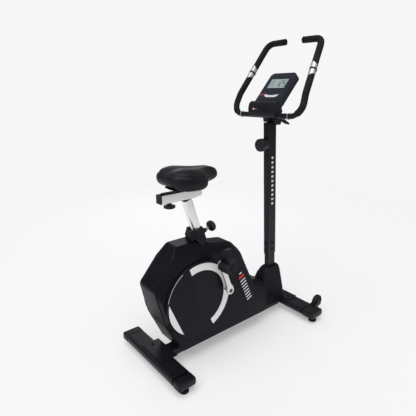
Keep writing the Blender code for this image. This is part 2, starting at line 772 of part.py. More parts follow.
def make_collar():
    """Moulded collar round the top of the seat tube, with the boss for the pop pin."""
    collar = box(
        "seat_collar", (COLLAR_DEEP, COLLAR_WIDE, 0.072), (-0.0010, 0.0, 0.266), BLACK_PLASTIC,
        SEAT_AXIS, edge=0.007, segments=3,
    )
    inside = box(
        "seat_collar_inside", (TUBE_DEEP + 2 * GAP, TUBE_WIDE + 2 * GAP, 0.060),
        (0.0, 0.0, TUBE_TOP + GAP - 0.030), parent=SEAT_AXIS, cutter=True,
    )
    post_way = box(
        "seat_collar_post_way", (POST_DEEP + 0.0008, POST_WIDE + 0.0008, 0.12),
        (0.0, 0.0, 0.290), parent=SEAT_AXIS, cutter=True,
    )
    boss = rod("seat_collar_boss", 0.0105, 0.020, (0.034, 0.0, PIN_HEIGHT), "x",
               parent=SEAT_AXIS, sides=20, cutter=True)
    pin_way = rod("seat_collar_pin_way", 0.0052, 0.05, (0.045, 0.0, PIN_HEIGHT), "x",
                  parent=SEAT_AXIS, sides=12, cutter=True)
    join(collar, boss)
    cut(collar, inside, post_way, pin_way)


def make_pop_pin():
    """Spring pin with a round pull knob; it slides straight out of the collar."""
    axis = empty("pop_pin_axis", (0.0, 0.0, PIN_HEIGHT), (0.0, math.pi / 2, 0.0), SEAT_AXIS)
    nose = POST_DEEP / 2 + 0.0008
    profile = [
        (0.0, 0.0965), (0.015, 0.0958), (0.0225, 0.0915), (0.0252, 0.0845), (0.0252, 0.0760),
        (0.0210, 0.0680), (0.0110, 0.0640), (0.0075, 0.0630), (0.0075, 0.0475), (0.0046, 0.0470),
        (0.0046, nose + 0.002), (0.0030, nose), (0.0, nose),
    ]
    turned("pop_pin", profile, (0.0, 0.0, 0.0), skin=BLACK_PLASTIC, parent=axis, steps=24)


def make_post():
    post = box_tube(
        "seat_post", POST_DEEP, POST_WIDE, 0.0020, 0.007, POST_START, POST_END,
        (0.0, 0.0, 0.0), (0.0, 0.0, 0.0), CHROME, SEAT_AXIS,
    )
    for index in range(6):
        hole = rod(
            "post_hole_" + str(index), 0.0050, 0.02, (POST_DEEP / 2, 0.0, 0.190 + 0.025 * index),
            "x", parent=SEAT_AXIS, sides=12, cutter=True,
        )
        cut(post, hole)
    above = box("seat_post_top", (0.2, 0.1, 0.1), (-0.22, 0.0, RAIL_LOW - GAP + 0.05), cutter=True)
    cut(post, above)


def make_rail():
    """Open-topped channel welded on the post; its front end is cut away in a slope."""
    length = RAIL_FRONT - RAIL_REAR
    middle = (RAIL_FRONT + RAIL_REAR) / 2
    tall = RAIL_HIGH - RAIL_LOW
    rail = box(
        "saddle_rail", (length, RAIL_WIDE, tall), (middle, 0.0, (RAIL_LOW + RAIL_HIGH) / 2),
        CHROME, edge=0.0015,
    )
    inside = box(
        "saddle_rail_inside", (length + 0.02, RAIL_WIDE - 0.004, tall),
        (middle, 0.0, (RAIL_LOW + RAIL_HIGH) / 2 + 0.002), cutter=True,
    )
    slope = box(
        "saddle_rail_slope", (0.12, 0.06, 0.04), (-0.158, 0.0, 0.7275),
        rotation=(0.0, math.radians(-11.5), 0.0), cutter=True,
    )
    screw_slot = box(
        "saddle_rail_slot", (0.074, 0.010, 0.02), (-0.322, 0.0, RAIL_LOW), cutter=True,
    )
    cut(rail, slope, inside, screw_slot)
    box(
        "rail_end_cap", (0.005, RAIL_WIDE + 0.001, tall + 0.001),
        (RAIL_REAR - 0.0025 - GAP, 0.0, (RAIL_LOW + RAIL_HIGH) / 2), BLACK_PLASTIC, edge=0.001,
    )


CARRIAGE_LOW = RAIL_LOW + 0.002 + GAP
CARRIAGE_HIGH = 0.7775


def make_carriage():
    """Steel block that slides in the rail and carries the saddle."""
    low = 0.7500
    block = box(
        "saddle_carriage", (0.160, RAIL_WIDE - 0.004 - 2 * GAP, CARRIAGE_HIGH - low),
        (-0.267, 0.0, (CARRIAGE_HIGH + low) / 2), BLACK_PLASTIC, edge=0.0010,
    )
    tail = box(
        "saddle_carriage_tail", (0.054, RAIL_WIDE - 0.004 - 2 * GAP, CARRIAGE_HIGH - CARRIAGE_LOW),
        (-0.322, 0.0, (CARRIAGE_HIGH + CARRIAGE_LOW) / 2), cutter=True,
    )
    pedestal = box(
        "saddle_carriage_pedestal", (0.060, 0.030, 0.0150), (-0.232, 0.0, CARRIAGE_HIGH + 0.0025),
        cutter=True,
    )
    thread = rod("saddle_carriage_thread", 0.0046, 0.03, (-0.320, 0.0, CARRIAGE_LOW), "z",
                 sides=12, cutter=True)
    join(block, tail, pedestal)
    cut(block, thread)


def make_saddle_knob():
    low = RAIL_LOW
    profile = [
        (0.0, low + 0.010), (0.0040, low + 0.010), (0.0040, low - 0.0006),
        (0.0085, low - 0.0008), (0.0085, low - 0.010), (0.0110, low - 0.0125),
        (0.0235, low - 0.0135), (0.0250, low - 0.0160), (0.0250, low - 0.0215),
        (0.0225, low - 0.0250), (0.0, low - 0.0260),
    ]
    turned("saddle_knob", profile, (-0.320, 0.0, 0.0), skin=BLACK_PLASTIC, steps=28)


PAN_LOW = CARRIAGE_HIGH + 0.0100 + GAP
SADDLE_STATIONS = [
    # x, half width, top, edge height, bottom
    (-0.352, 0.045, 0.850, 0.838, 0.824),
    (-0.346, 0.072, 0.866, 0.838, 0.808),
    (-0.322, 0.098, 0.878, 0.836, 0.796),
    (-0.285, 0.118, 0.881, 0.832, 0.794),
    (-0.245, 0.122, 0.878, 0.830, 0.794),
    (-0.208, 0.106, 0.874, 0.828, 0.794),
    (-0.172, 0.074, 0.872, 0.828, 0.797),
    (-0.138, 0.050, 0.871, 0.829, 0.800),
    (-0.105, 0.042, 0.869, 0.829, 0.804),
    (-0.080, 0.034, 0.860, 0.828, 0.808),
    (-0.068, 0.020, 0.846, 0.827, 0.814),
]


def make_saddle():
    """Padded saddle on a thin moulded pan."""
    rings = []
    for x, half, top, edge, bottom in SADDLE_STATIONS:
        ring = [
            (x, 0.0, top - 0.004), (x, half * 0.45, top), (x, half * 0.80, top - 0.010),
            (x, half, edge), (x, half * 0.88, bottom + 0.008), (x, half * 0.45, bottom),
            (x, 0.0, bottom), (x, -half * 0.45, bottom), (x, -half * 0.88, bottom + 0.008),
            (x, -half, edge), (x, -half * 0.80, top - 0.010), (x, -half * 0.45, top),
        ]
        rings.append(ring)
    pad = loft("saddle_pad", rings, True, VINYL)
    mesh = pad.data
    shape = bmesh.new()
    shape.from_mesh(mesh)
    shape.verts.ensure_lookup_table()
    shape.faces.new([shape.verts[index] for index in range(12)])
    bmesh.ops.recalc_face_normals(shape, faces=shape.faces)
    shape.to_mesh(mesh)
    shape.free()
    soften = pad.modifiers.new("soften", "SUBSURF")
    soften.levels = 1
    soften.render_levels = 1

    outline = [(-0.318, 0.0), (-0.310, 0.060), (-0.285, 0.088), (-0.245, 0.090), (-0.208, 0.070),
               (-0.170, 0.044), (-0.130, 0.028), (-0.105, 0.0)]
    whole = outline + [(x, -y) for x, y in reversed(outline[1:-1])]
    pan = outline_plate(
        "saddle_pan", whole, 0.0040, (0.0, 0.0, PAN_LOW + 0.0020),
        (0.0, 0.0, 0.0), BLACK_PLASTIC,
    )
    return pad, pan


# ---------------------------------------------------------------- mast and head
def make_mast():
    box_tube(
        "mast_stub", STUB_DEEP, STUB_WIDE, 0.0025, 0.0045, 0.0026, 0.400,
        (0.0, 0.0, 0.0), (0.0, 0.0, 0.0), FRAME_PAINT, MAST_AXIS,
    )
    stub = bpy.data.objects["mast_stub"]
    cable_way = box("mast_stub_cable_way", (0.02, 0.014, 0.05), (-0.028, 0.0, 0.085),
                    parent=MAST_AXIS, cutter=True)
    cut(stub, cable_way)
    mast = box_tube(
        "mast", MAST_DEEP, MAST_WIDE, MAST_WALL, 0.0065, MAST_START, MAST_END,
        (0.0, 0.0, 0.0), (0.0, 0.0, 0.0), MAST_PAINT, MAST_AXIS,
    )
    knob_way = rod("mast_knob_way", 0.0075, 0.03, (-MAST_DEEP / 2, 0.0, knob_on_mast()), "x",
                   parent=MAST_AXIS, sides=16, cutter=True)
    cut(mast, knob_way)
    make_boot()


def knob_on_mast():
    return (KNOB_HEIGHT - MAST_FOOT.z) / math.cos(MAST_LEAN)


def boot_ring(rear, front, half, radius, z):
    corners = [
        ((front, half), radius), ((rear, half), radius), ((rear, -half), radius),
        ((front, -half), radius),
    ]
    return [(point.x, point.y, z) for point in fillet(corners, 4, closed=True)]


def make_boot():
    """Flared plastic cover round the foot of the mast."""
    rings = [
        boot_ring(0.2135, 0.3835, 0.056, 0.010, 0.0672),
        boot_ring(0.2150, 0.3800, 0.048, 0.012, 0.140),
        boot_ring(0.2250, 0.3740, 0.036, 0.014, 0.210),
        boot_ring(0.2400, 0.3700, 0.031, 0.014, 0.242),
        boot_ring(0.2620, 0.3640, 0.027, 0.014, 0.264),
        boot_ring(0.2740, 0.3580, 0.0240, 0.013, 0.272),
    ]
    boot = loft("mast_boot", rings, True, CASING_PLASTIC)
    thicken(boot, 0.0025)
    stub_way = box("mast_boot_way", (STUB_DEEP + 0.001, STUB_WIDE + 0.001, 0.30), (0.0, 0.0, 0.22),
                   parent=MAST_AXIS, edge=0.006, segments=3, cutter=True)
    cable_way = box("mast_boot_cable_way", (0.03, 0.050, 0.11), (0.213, 0.0, 0.137), cutter=True)
    cut(boot, stub_way, cable_way)


def make_head():
    """Bracket on top of the mast: it clamps the handlebar and carries the console."""
    profile = [
        (0.2390, 1.0300), (0.2130, 1.0480), (0.2110, 1.0520), (0.2110, 1.0760), (0.2150, 1.0815),
        (0.2960, 1.0815), (0.2990, 1.0780), (0.2990, 1.0300),
    ]
    block = outline_plate("mast_head", profile, 0.036, (0.0, 0.0, 0.0), (math.pi / 2, 0.0, 0.0),
                          FRAME_PAINT)
    bar_way = rod("mast_head_bar_way", HANDLE_RADIUS + 0.0004, 0.10, BAR_AXIS, cutter=True,
                  sides=32)
    tongue = box(
        "mast_head_tongue", (0.004, 0.040, 0.132), (CONSOLE_DEEP + 0.0026, 0.0, 0.030),
        parent=CONSOLE_AXIS, cutter=True,
    )
    knob_way = rod("mast_head_knob_way", 0.0047, 0.03, (CLAMP_KNOB.x, -0.016, CLAMP_KNOB.z),
                   sides=16, cutter=True)
    cut(block, bar_way)
    join(block, tongue)
    cut(block, knob_way)


CLAMP_KNOB = Vector((0.2760, 0.0, 1.0420))


def make_clamp_knob():
    axis = empty("clamp_knob_axis", (CLAMP_KNOB.x, 0.0, CLAMP_KNOB.z), (math.pi / 2, 0.0, 0.0),
                 BIKE)
    face = 0.0190
    profile = [
        (0.0, face + 0.0300), (0.016, face + 0.0295), (0.0265, face + 0.0270),
        (0.0285, face + 0.0230), (0.0285, face + 0.0130), (0.0250, face + 0.0090),
        (0.0100, face + 0.0080), (0.0080, face), (0.0042, face), (0.0042, 0.0080), (0.0, 0.0080),
    ]
    turned("clamp_knob", profile, (0.0, 0.0, 0.0), skin=BLACK_PLASTIC, parent=axis, steps=28)


def make_head_cover():
    """Hood over the clamp: a curved wall with closed ends, open below and in front."""
    corners = [
        ((0.2045, 1.0755), 0.0), ((0.1980, 1.1000), 0.012), ((0.2075, 1.1240), 0.014),
        ((0.2300, 1.1220), 0.006), ((0.2545, 1.0975), 0.0),
    ]
    path = fillet(corners, 4)
    half = 0.082
    mesh = bpy.data.meshes.new("head_cover")
    shape = bmesh.new()
    rows = []
    for y in (-half, half):
        rows.append([shape.verts.new((point.x, y, point.y)) for point in path])
    for index in range(len(path) - 1):
        shape.faces.new((rows[0][index], rows[0][index + 1], rows[1][index + 1], rows[1][index]))
    for row in rows:
        tip = shape.verts.new((0.2545, row[0].co.y, 1.0755))
        shape.faces.new([*row, tip])
    bmesh.ops.recalc_face_normals(shape, faces=shape.faces)
    shape.to_mesh(mesh)
    shape.free()
    cover = bpy.data.objects.new("head_cover", mesh)
    PARTS.objects.link(cover)
    adopt(cover, "head_cover", CASING_PLASTIC)
    smooth(cover)
    thicken(cover, 0.0025)


def console_point(across, up, out):
    """A place on the console: across to the left, up its face, and out of its face."""
    return (-out, across, up)


def make_console():
    long = (CONSOLE_HIGH - CONSOLE_LOW).length
    outline = [
        ((0.0, CONSOLE_HALF), 0.008), ((0.0, -CONSOLE_HALF), 0.008), ((long, -CONSOLE_HALF), 0.020),
        ((long, CONSOLE_HALF), 0.020),
    ]
    points = [(p.x, p.y) for p in fillet(outline, 4, closed=True)]
    housing = outline_plate(
        "console_housing", points, CONSOLE_DEEP, (CONSOLE_DEEP / 2, 0.0, 0.0),
        (0.0, -math.pi / 2, 0.0), CONSOLE_PLASTIC, CONSOLE_AXIS,
    )
    bevel(housing, 0.004, 2, 60.0)
    window_way = box(
        "console_window_way", (0.006, 0.106, 0.058), console_point(0.0, 0.113, 0.0),
        parent=CONSOLE_AXIS, cutter=True,
    )
    cut(housing, window_way)
    box(
        "display_window", (0.0024, 0.106 - 2 * GAP, 0.058 - 2 * GAP),
        console_point(0.0, 0.113, -0.0017), DISPLAY, CONSOLE_AXIS,
    )
    for index, (across, up) in enumerate(BUTTONS):
        name = "button_" + str(index + 1)
        well = box(
            name + "_well", (0.010, 0.0136, 0.0096), console_point(across, up, 0.0),
            parent=CONSOLE_AXIS, cutter=True,
        )
        cut(housing, well)
        box(
            name, (0.0052, 0.0130, 0.0090), console_point(across, up, 0.0008), BUTTON_RUBBER,
            CONSOLE_AXIS, edge=0.0010,
        )


BUTTONS = [(0.063, 0.043), (0.047, 0.043), (-0.053, 0.043)]


# ---------------------------------------------------------------- handlebar
def handle_side(sign):
    """The handlebar's corners from the cross piece up to one tip, with bend radii."""
    return [
        ((BAR_AXIS.x, sign * 0.213, BAR_AXIS.z), 0.055),
        ((0.262, sign * 0.200, 1.158), 0.080),
        ((0.413, sign * 0.158, 1.3945), 0.040),
        ((0.415, sign * 0.053, 1.3965), 0.0),
    ]


def make_handlebar():
    left = handle_side(1)
    right = handle_side(-1)
    inner_tip = 0.0015
    whole = list(reversed(right)) + left
    path = fillet(whole, 5)
    path[0] = path[0] + (path[1] - path[0]).normalized() * inner_tip
    path[-1] = path[-1] + (path[-2] - path[-1]).normalized() * inner_tip
    pipe("handlebar", path, HANDLE_RADIUS, MAST_PAINT)
    for side, sign, corners in (("left", 1, left), ("right", -1, right)):
        start = (corners[0][0][0], sign * 0.150, corners[0][0][2])
        grip_path = fillet([(start, 0.0)] + corners, 5)
        grip_path = grip_path[3:]
        make_grip(side, grip_path)
        make_pulse_sensor(side, sign, corners)


def make_grip(side, path):
    grip = pipe("grip_" + side, path, GRIP_RADIUS, FOAM)
    inner = list(path)
    inner[0] = inner[0] - (inner[1] - inner[0]).normalized() * 0.004
    inner[-1] = inner[-1] + (inner[-2] - inner[-1]).normalized() * 0.0010
    hollow = pipe("grip_hollow_" + side, inner, HANDLE_RADIUS + 0.0012, cutter=True)
    cut(grip, hollow)


PULSE_UP = 0.42


def make_pulse_sensor(side, sign, corners):
    """Hand-pulse sensor: a sleeve round the straight stretch of the grip."""
    low = Vector(corners[1][0])
    high = Vector(corners[2][0])
    along = (high - low).normalized()
    place = low.lerp(high, PULSE_UP)
    half = 0.035
    inner, outer = GRIP_RADIUS + GAP, GRIP_RADIUS + 0.0019
    profile = [
        (inner, half), (outer - 0.0012, half), (outer, half - 0.0015), (outer, -half + 0.0015),
        (outer - 0.0012, -half), (inner, -half),
    ]
    turn = along.to_track_quat("Z", "Y").to_euler()
    turned("pulse_sensor_" + side, profile, place, turn, CHROME, None, 24, closed=True)


# ---------------------------------------------------------------- resistance control
def make_tension_knob():
    axis = empty("tension_knob_axis", (-MAST_DEEP / 2, 0.0, knob_on_mast()),
                 (0.0, -math.pi / 2, 0.0), MAST_AXIS)
    profile = [
        (0.0, 0.0455), (0.0270, 0.0440), (0.0305, 0.0405), (0.0310, 0.0180), (0.0280, 0.0150),
        (0.0280, 0.0008), (0.0068, 0.0008),
        (0.0068, -0.0120), (0.0, -0.0120),
    ]
    turned("tension_knob", profile, (0.0, 0.0, 0.0), skin=BLACK_PLASTIC, parent=axis, steps=32)


MAGNET_PIVOT = Vector((-0.2350, 0.0, 0.4340))


def make_magnet_bracket():
    """Curved bracket with the brake magnets, hung from a pivot above the flywheel's rim."""
    axis = empty("magnet_axis", (MAGNET_PIVOT.x, 0.0, MAGNET_PIVOT.z), (0.0, 0.0, 0.0), BIKE)
    centre = FLYWHEEL - MAGNET_PIVOT
    inner, outer = FLYWHEEL_RADIUS + 0.0035, FLYWHEEL_RADIUS + 0.0125
    start, end = math.radians(84.0), math.radians(168.0)
    steps = 14
    points = []
    for step in range(steps + 1):
        turn = start + (end - start) * step / steps
        points.append((centre.x + outer * math.cos(turn), centre.z + outer * math.sin(turn)))
    for step in range(steps + 1):
        turn = end + (start - end) * step / steps
        points.append((centre.x + inner * math.cos(turn), centre.z + inner * math.sin(turn)))
    bracket = outline_plate("magnet_bracket", points, 0.026, (0.0, 0.035, 0.0),
                            (math.pi / 2, 0.0, 0.0), STEEL, axis)
    ear = rod("magnet_bracket_ear", 0.0105, 0.026, (0.0, 0.035, 0.0), parent=axis, sides=20,
              cutter=True)
    bore = rod("magnet_bracket_bore", 0.0055, 0.06, (0.0, 0.035, 0.0), parent=axis, sides=16,
               cutter=True)
    join(bracket, ear)
    cut(bracket, bore)


def make_cable():
    """Brake cable from the resistance knob, down inside the mast, to the magnet bracket."""
    knob_x = MAST_FOOT.x - math.tan(MAST_LEAN) * (KNOB_HEIGHT - MAST_FOOT.z)
    corners = [
        ((knob_x - 0.006, 0.0, KNOB_HEIGHT - 0.004), 0.0),
        ((knob_x + 0.008, 0.0, KNOB_HEIGHT - 0.060), 0.06),
        ((MAST_FOOT.x - 0.014, 0.0, 0.260), 0.20),
        ((MAST_FOOT.x - 0.006, 0.0, 0.142), 0.020),
        ((0.200, 0.0, 0.120), 0.05),
        ((0.060, 0.050, 0.110), 0.05),
        ((-0.110, 0.062, 0.180), 0.08),
        ((-0.160, 0.064, 0.430), 0.06),
        ((-0.300, 0.064, 0.4620), 0.02),
        ((-0.3330, 0.040, 0.4350), 0.0),
    ]
    points = fillet(corners, 4)
    pipe("tension_cable", points, 0.0022, RUBBER, resolution=2)


# ---------------------------------------------------------------- assembly
make_base()
make_seat_tube()
make_collar()
make_pop_pin()
make_post()
make_rail()
make_carriage()
make_saddle_knob()
make_saddle()
for side_name, side_sign in (("left", 1), ("right", -1)):
    make_casing(side_name, side_sign)
    make_disc(side_name, side_sign)
make_drive()
make_magnet_bracket()
make_mast()
make_head()
make_clamp_knob()
make_head_cover()
make_console()
make_handlebar()
make_tension_knob()
make_cable()
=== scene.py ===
"""Upright exercise bike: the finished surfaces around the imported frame."""

import math

import bpy
from mathutils import Matrix, Vector


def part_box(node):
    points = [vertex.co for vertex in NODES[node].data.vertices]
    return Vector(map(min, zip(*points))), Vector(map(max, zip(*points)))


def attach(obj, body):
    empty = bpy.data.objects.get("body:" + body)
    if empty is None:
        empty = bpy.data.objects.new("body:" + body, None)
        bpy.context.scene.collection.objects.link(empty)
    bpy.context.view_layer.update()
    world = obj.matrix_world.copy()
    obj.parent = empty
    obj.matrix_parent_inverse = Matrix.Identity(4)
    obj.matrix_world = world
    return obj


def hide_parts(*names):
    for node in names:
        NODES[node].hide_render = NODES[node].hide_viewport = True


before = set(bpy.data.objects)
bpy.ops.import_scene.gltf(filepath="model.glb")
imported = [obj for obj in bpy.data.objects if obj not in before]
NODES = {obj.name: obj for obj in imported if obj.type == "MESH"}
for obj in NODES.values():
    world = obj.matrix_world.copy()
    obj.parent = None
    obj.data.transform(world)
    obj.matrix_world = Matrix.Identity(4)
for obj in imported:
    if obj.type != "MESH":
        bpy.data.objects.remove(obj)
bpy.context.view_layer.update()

# ---------------------------------------------------------------------------
# The room. A pale floor that melts into a pale surround, lit evenly by one wide
# opening overhead, with a soft box at the rider's right shoulder, one in front
# and one behind.
# ---------------------------------------------------------------------------
CAMERA_PLACE = Vector((-1.18225, -1.26440, 1.16310))
CAMERA_YAW = math.radians(50.64)
CAMERA_PITCH = math.radians(-16.66)
CAMERA_ROLL = math.radians(-0.16)
CAMERA_LENS = 33.33
ROOM_SEEN = 0.925
ROOM_LIGHT = 0.26
SKYLIGHT_POWER = 2.42
SKYLIGHT_SPREAD = math.radians(62.0)
SKYLIGHT_FROM = Vector((-0.55, -0.35, 1.75))
FLOOR_HALF = 7.0
FLOOR_SOLID = 1.6
FLOOR_GONE = 4.5
FLOOR_GLOW = 0.305
SOFT_BOXES = [
    ("shoulder_box", (-2.6, -0.9, 1.9), (-0.1, 0.0, 0.6), (0.9, 1.6), 7.0),
    ("front_strip", (1.7, -2.2, 1.5), (0.1, 0.0, 0.6), (0.5, 1.8), 2.5),
    ("back_strip", (1.2, 2.4, 1.8), (0.0, 0.0, 0.7), (0.8, 1.8), 7.0),
]


def set_camera():
    """Stand the camera behind the rider's right shoulder."""
    level = math.cos(CAMERA_PITCH)
    gaze = Vector((
        level * math.cos(CAMERA_YAW),
        level * math.sin(CAMERA_YAW),
        math.sin(CAMERA_PITCH),
    ))
    turn = gaze.to_track_quat("-Z", "Y").to_matrix()
    turn = turn @ Matrix.Rotation(CAMERA_ROLL, 3, "Z")
    data = bpy.data.cameras.new("room_camera")
    data.lens = CAMERA_LENS
    data.sensor_width = 36.0
    camera = bpy.data.objects.new("room_camera", data)
    camera.matrix_world = Matrix.Translation(CAMERA_PLACE) @ turn.to_4x4()
    bpy.context.scene.collection.objects.link(camera)
    bpy.context.scene.camera = camera


def hang_soft_box(name, place, target, size, power):
    """Hang one rectangular soft box and aim it."""
    data = bpy.data.lights.new(name, "AREA")
    data.shape = "RECTANGLE"
    data.size, data.size_y = size
    data.energy = power
    lamp = bpy.data.objects.new(name, data)
    aim = Vector(target) - Vector(place)
    lamp.matrix_world = (
        Matrix.Translation(place) @ aim.to_track_quat("-Z", "Y").to_matrix().to_4x4()
    )
    bpy.context.scene.collection.objects.link(lamp)


def open_skylight():
    """Light the whole floor evenly from one wide soft opening overhead."""
    data = bpy.data.lights.new("skylight", "SUN")
    data.energy = SKYLIGHT_POWER
    data.angle = SKYLIGHT_SPREAD
    lamp = bpy.data.objects.new("skylight", data)
    lamp.matrix_world = SKYLIGHT_FROM.to_track_quat("Z", "Y").to_matrix().to_4x4()
    bpy.context.scene.collection.objects.link(lamp)


def light_room():
    """Give the surround one plain pale tone, a little dimmer as a light than to look at."""
    bpy.context.scene.view_settings.view_transform = "Standard"
    world = bpy.data.worlds.new("pale_room")
    bpy.context.scene.world = world
    world.use_nodes = True
    tree = world.node_tree
    backdrop = tree.nodes["Background"]
    backdrop.inputs["Color"].default_value = (1.0, 1.0, 1.0, 1.0)
    path = tree.nodes.new("ShaderNodeLightPath")
    strength = tree.nodes.new("ShaderNodeMapRange")
    strength.inputs["To Min"].default_value = ROOM_LIGHT
    strength.inputs["To Max"].default_value = ROOM_SEEN
    tree.links.new(path.outputs["Is Camera Ray"], strength.inputs["Value"])
    tree.links.new(strength.outputs["Result"], backdrop.inputs["Strength"])


def lay_floor():
    """Lay the floor as one wide sheet whose far edge melts into the surround."""
    bpy.ops.object.select_all(action="DESELECT")
    bpy.ops.mesh.primitive_plane_add(size=2.0 * FLOOR_HALF, location=(0.0, 0.0, 0.0))
    floor = bpy.context.object
    floor.name = "floor"
    paint = bpy.data.materials.new("floor_paint")
    paint.use_nodes = True
    tree = paint.node_tree
    shader = tree.nodes["Principled BSDF"]
    shader.inputs["Base Color"].default_value = (0.600, 0.600, 0.612, 1.0)
    shader.inputs["Emission Color"].default_value = (1.0, 1.0, 1.0, 1.0)
    shader.inputs["Emission Strength"].default_value = FLOOR_GLOW
    shader.inputs["Roughness"].default_value = 0.75
    shader.inputs["Specular IOR Level"].default_value = 0.2
    place = tree.nodes.new("ShaderNodeTexCoord")
    reach = tree.nodes.new("ShaderNodeVectorMath")
    reach.operation = "LENGTH"
    fade = tree.nodes.new("ShaderNodeMapRange")
    fade.interpolation_type = "SMOOTHSTEP"
    fade.inputs["From Min"].default_value = FLOOR_SOLID
    fade.inputs["From Max"].default_value = FLOOR_GONE
    fade.inputs["To Min"].default_value = 1.0
    fade.inputs["To Max"].default_value = 0.0
    tree.links.new(place.outputs["Object"], reach.inputs[0])
    tree.links.new(reach.outputs["Value"], fade.inputs["Value"])
    tree.links.new(fade.outputs["Result"], shader.inputs["Alpha"])
    floor.data.materials.append(paint)


set_camera()
light_room()
open_skylight()
for soft_box in SOFT_BOXES:
    hang_soft_box(*soft_box)
lay_floor()

# ---------------------------------------------------------------------------
# Welded base. Square bars and flat plates, cut and welded, then powder coated
# satin black. The coat has a faint orange peel and rounds every edge a little.
# ---------------------------------------------------------------------------
FRAME_BLACK = (0.0050, 0.0054, 0.0072)
BAR_EDGE = 0.0016
COOL_GLOSS = (0.84, 0.87, 1.0, 1.0)
SIDES = (("right", -1.0), ("left", 1.0))


def deselect():
    """Let go of everything, so that the next operator acts only on its own piece."""
    bpy.ops.object.select_all(action="DESELECT")


def take_up(piece):
    """Make one piece the only one that operators act on."""
    deselect()
    piece.select_set(True)
    bpy.context.view_layer.objects.active = piece


def make_surface_groups():
    """Build the two effects that every moulded or painted surface shares."""
    grain = bpy.data.node_groups.new("fine_grain", "ShaderNodeTree")
    for label, kind, start in (
        ("Vector", "NodeSocketVector", None),
        ("Grain Scale", "NodeSocketFloat", 900.0),
        ("Swell Scale", "NodeSocketFloat", 40.0),
        ("Swell", "NodeSocketFloat", 0.4),
    ):
        socket = grain.interface.new_socket(label, in_out="INPUT", socket_type=kind)
        if start is not None:
            socket.default_value = start
    grain.interface.new_socket("Height", in_out="OUTPUT", socket_type="NodeSocketFloat")
    come = grain.nodes.new("NodeGroupInput")
    leave = grain.nodes.new("NodeGroupOutput")
    fine = grain.nodes.new("ShaderNodeTexNoise")
    fine.inputs["Detail"].default_value = 3.0
    wide = grain.nodes.new("ShaderNodeTexNoise")
    wide.inputs["Detail"].default_value = 2.0
    blend = grain.nodes.new("ShaderNodeMix")
    grain.links.new(come.outputs["Vector"], fine.inputs["Vector"])
    grain.links.new(come.outputs["Vector"], wide.inputs["Vector"])
    grain.links.new(come.outputs["Grain Scale"], fine.inputs["Scale"])
    grain.links.new(come.outputs["Swell Scale"], wide.inputs["Scale"])
    grain.links.new(come.outputs["Swell"], blend.inputs["Factor"])
    grain.links.new(fine.outputs["Fac"], blend.inputs["A"])
    grain.links.new(wide.outputs["Fac"], blend.inputs["B"])
    grain.links.new(blend.outputs["Result"], leave.inputs["Height"])

    tone = bpy.data.node_groups.new("handled_tone", "ShaderNodeTree")
    for label, kind, start in (
        ("Vector", "NodeSocketVector", None),
        ("Colour", "NodeSocketColor", (0.5, 0.5, 0.5, 1.0)),
        ("Dust Colour", "NodeSocketColor", (0.5, 0.5, 0.5, 1.0)),
        ("Roughness", "NodeSocketFloat", 0.4),
        ("Amount", "NodeSocketFloat", 0.1),
        ("Patch Scale", "NodeSocketFloat", 7.0),
    ):
        socket = tone.interface.new_socket(label, in_out="INPUT", socket_type=kind)
        if start is not None:
            socket.default_value = start
    tone.interface.new_socket("Colour", in_out="OUTPUT", socket_type="NodeSocketColor")
    tone.interface.new_socket("Roughness", in_out="OUTPUT", socket_type="NodeSocketFloat")
    come = tone.nodes.new("NodeGroupInput")
    leave = tone.nodes.new("NodeGroupOutput")
    patch = tone.nodes.new("ShaderNodeTexNoise")
    patch.inputs["Detail"].default_value = 6.0
    patch.inputs["Roughness"].default_value = 0.62
    spread = tone.nodes.new("ShaderNodeMapRange")
    spread.inputs["From Min"].default_value = 0.35
    spread.inputs["From Max"].default_value = 0.75
    share = tone.nodes.new("ShaderNodeMath")
    share.operation = "MULTIPLY"
    tint = tone.nodes.new("ShaderNodeMix")
    tint.data_type = "RGBA"
    polish = tone.nodes.new("ShaderNodeMath")
    polish.operation = "MULTIPLY_ADD"
    tone.links.new(come.outputs["Vector"], patch.inputs["Vector"])
    tone.links.new(come.outputs["Patch Scale"], patch.inputs["Scale"])
    tone.links.new(patch.outputs["Fac"], spread.inputs["Value"])
    tone.links.new(spread.outputs["Result"], share.inputs[0])
    tone.links.new(come.outputs["Amount"], share.inputs[1])
    tone.links.new(share.outputs["Value"], tint.inputs["Factor"])
    tone.links.new(come.outputs["Colour"], tint.inputs["A"])
    tone.links.new(come.outputs["Dust Colour"], tint.inputs["B"])
    tone.links.new(share.outputs["Value"], polish.inputs[0])
    polish.inputs[1].default_value = 0.8
    tone.links.new(come.outputs["Roughness"], polish.inputs[2])
    tone.links.new(tint.outputs["Result"], leave.inputs["Colour"])
    tone.links.new(polish.outputs["Value"], leave.inputs["Roughness"])


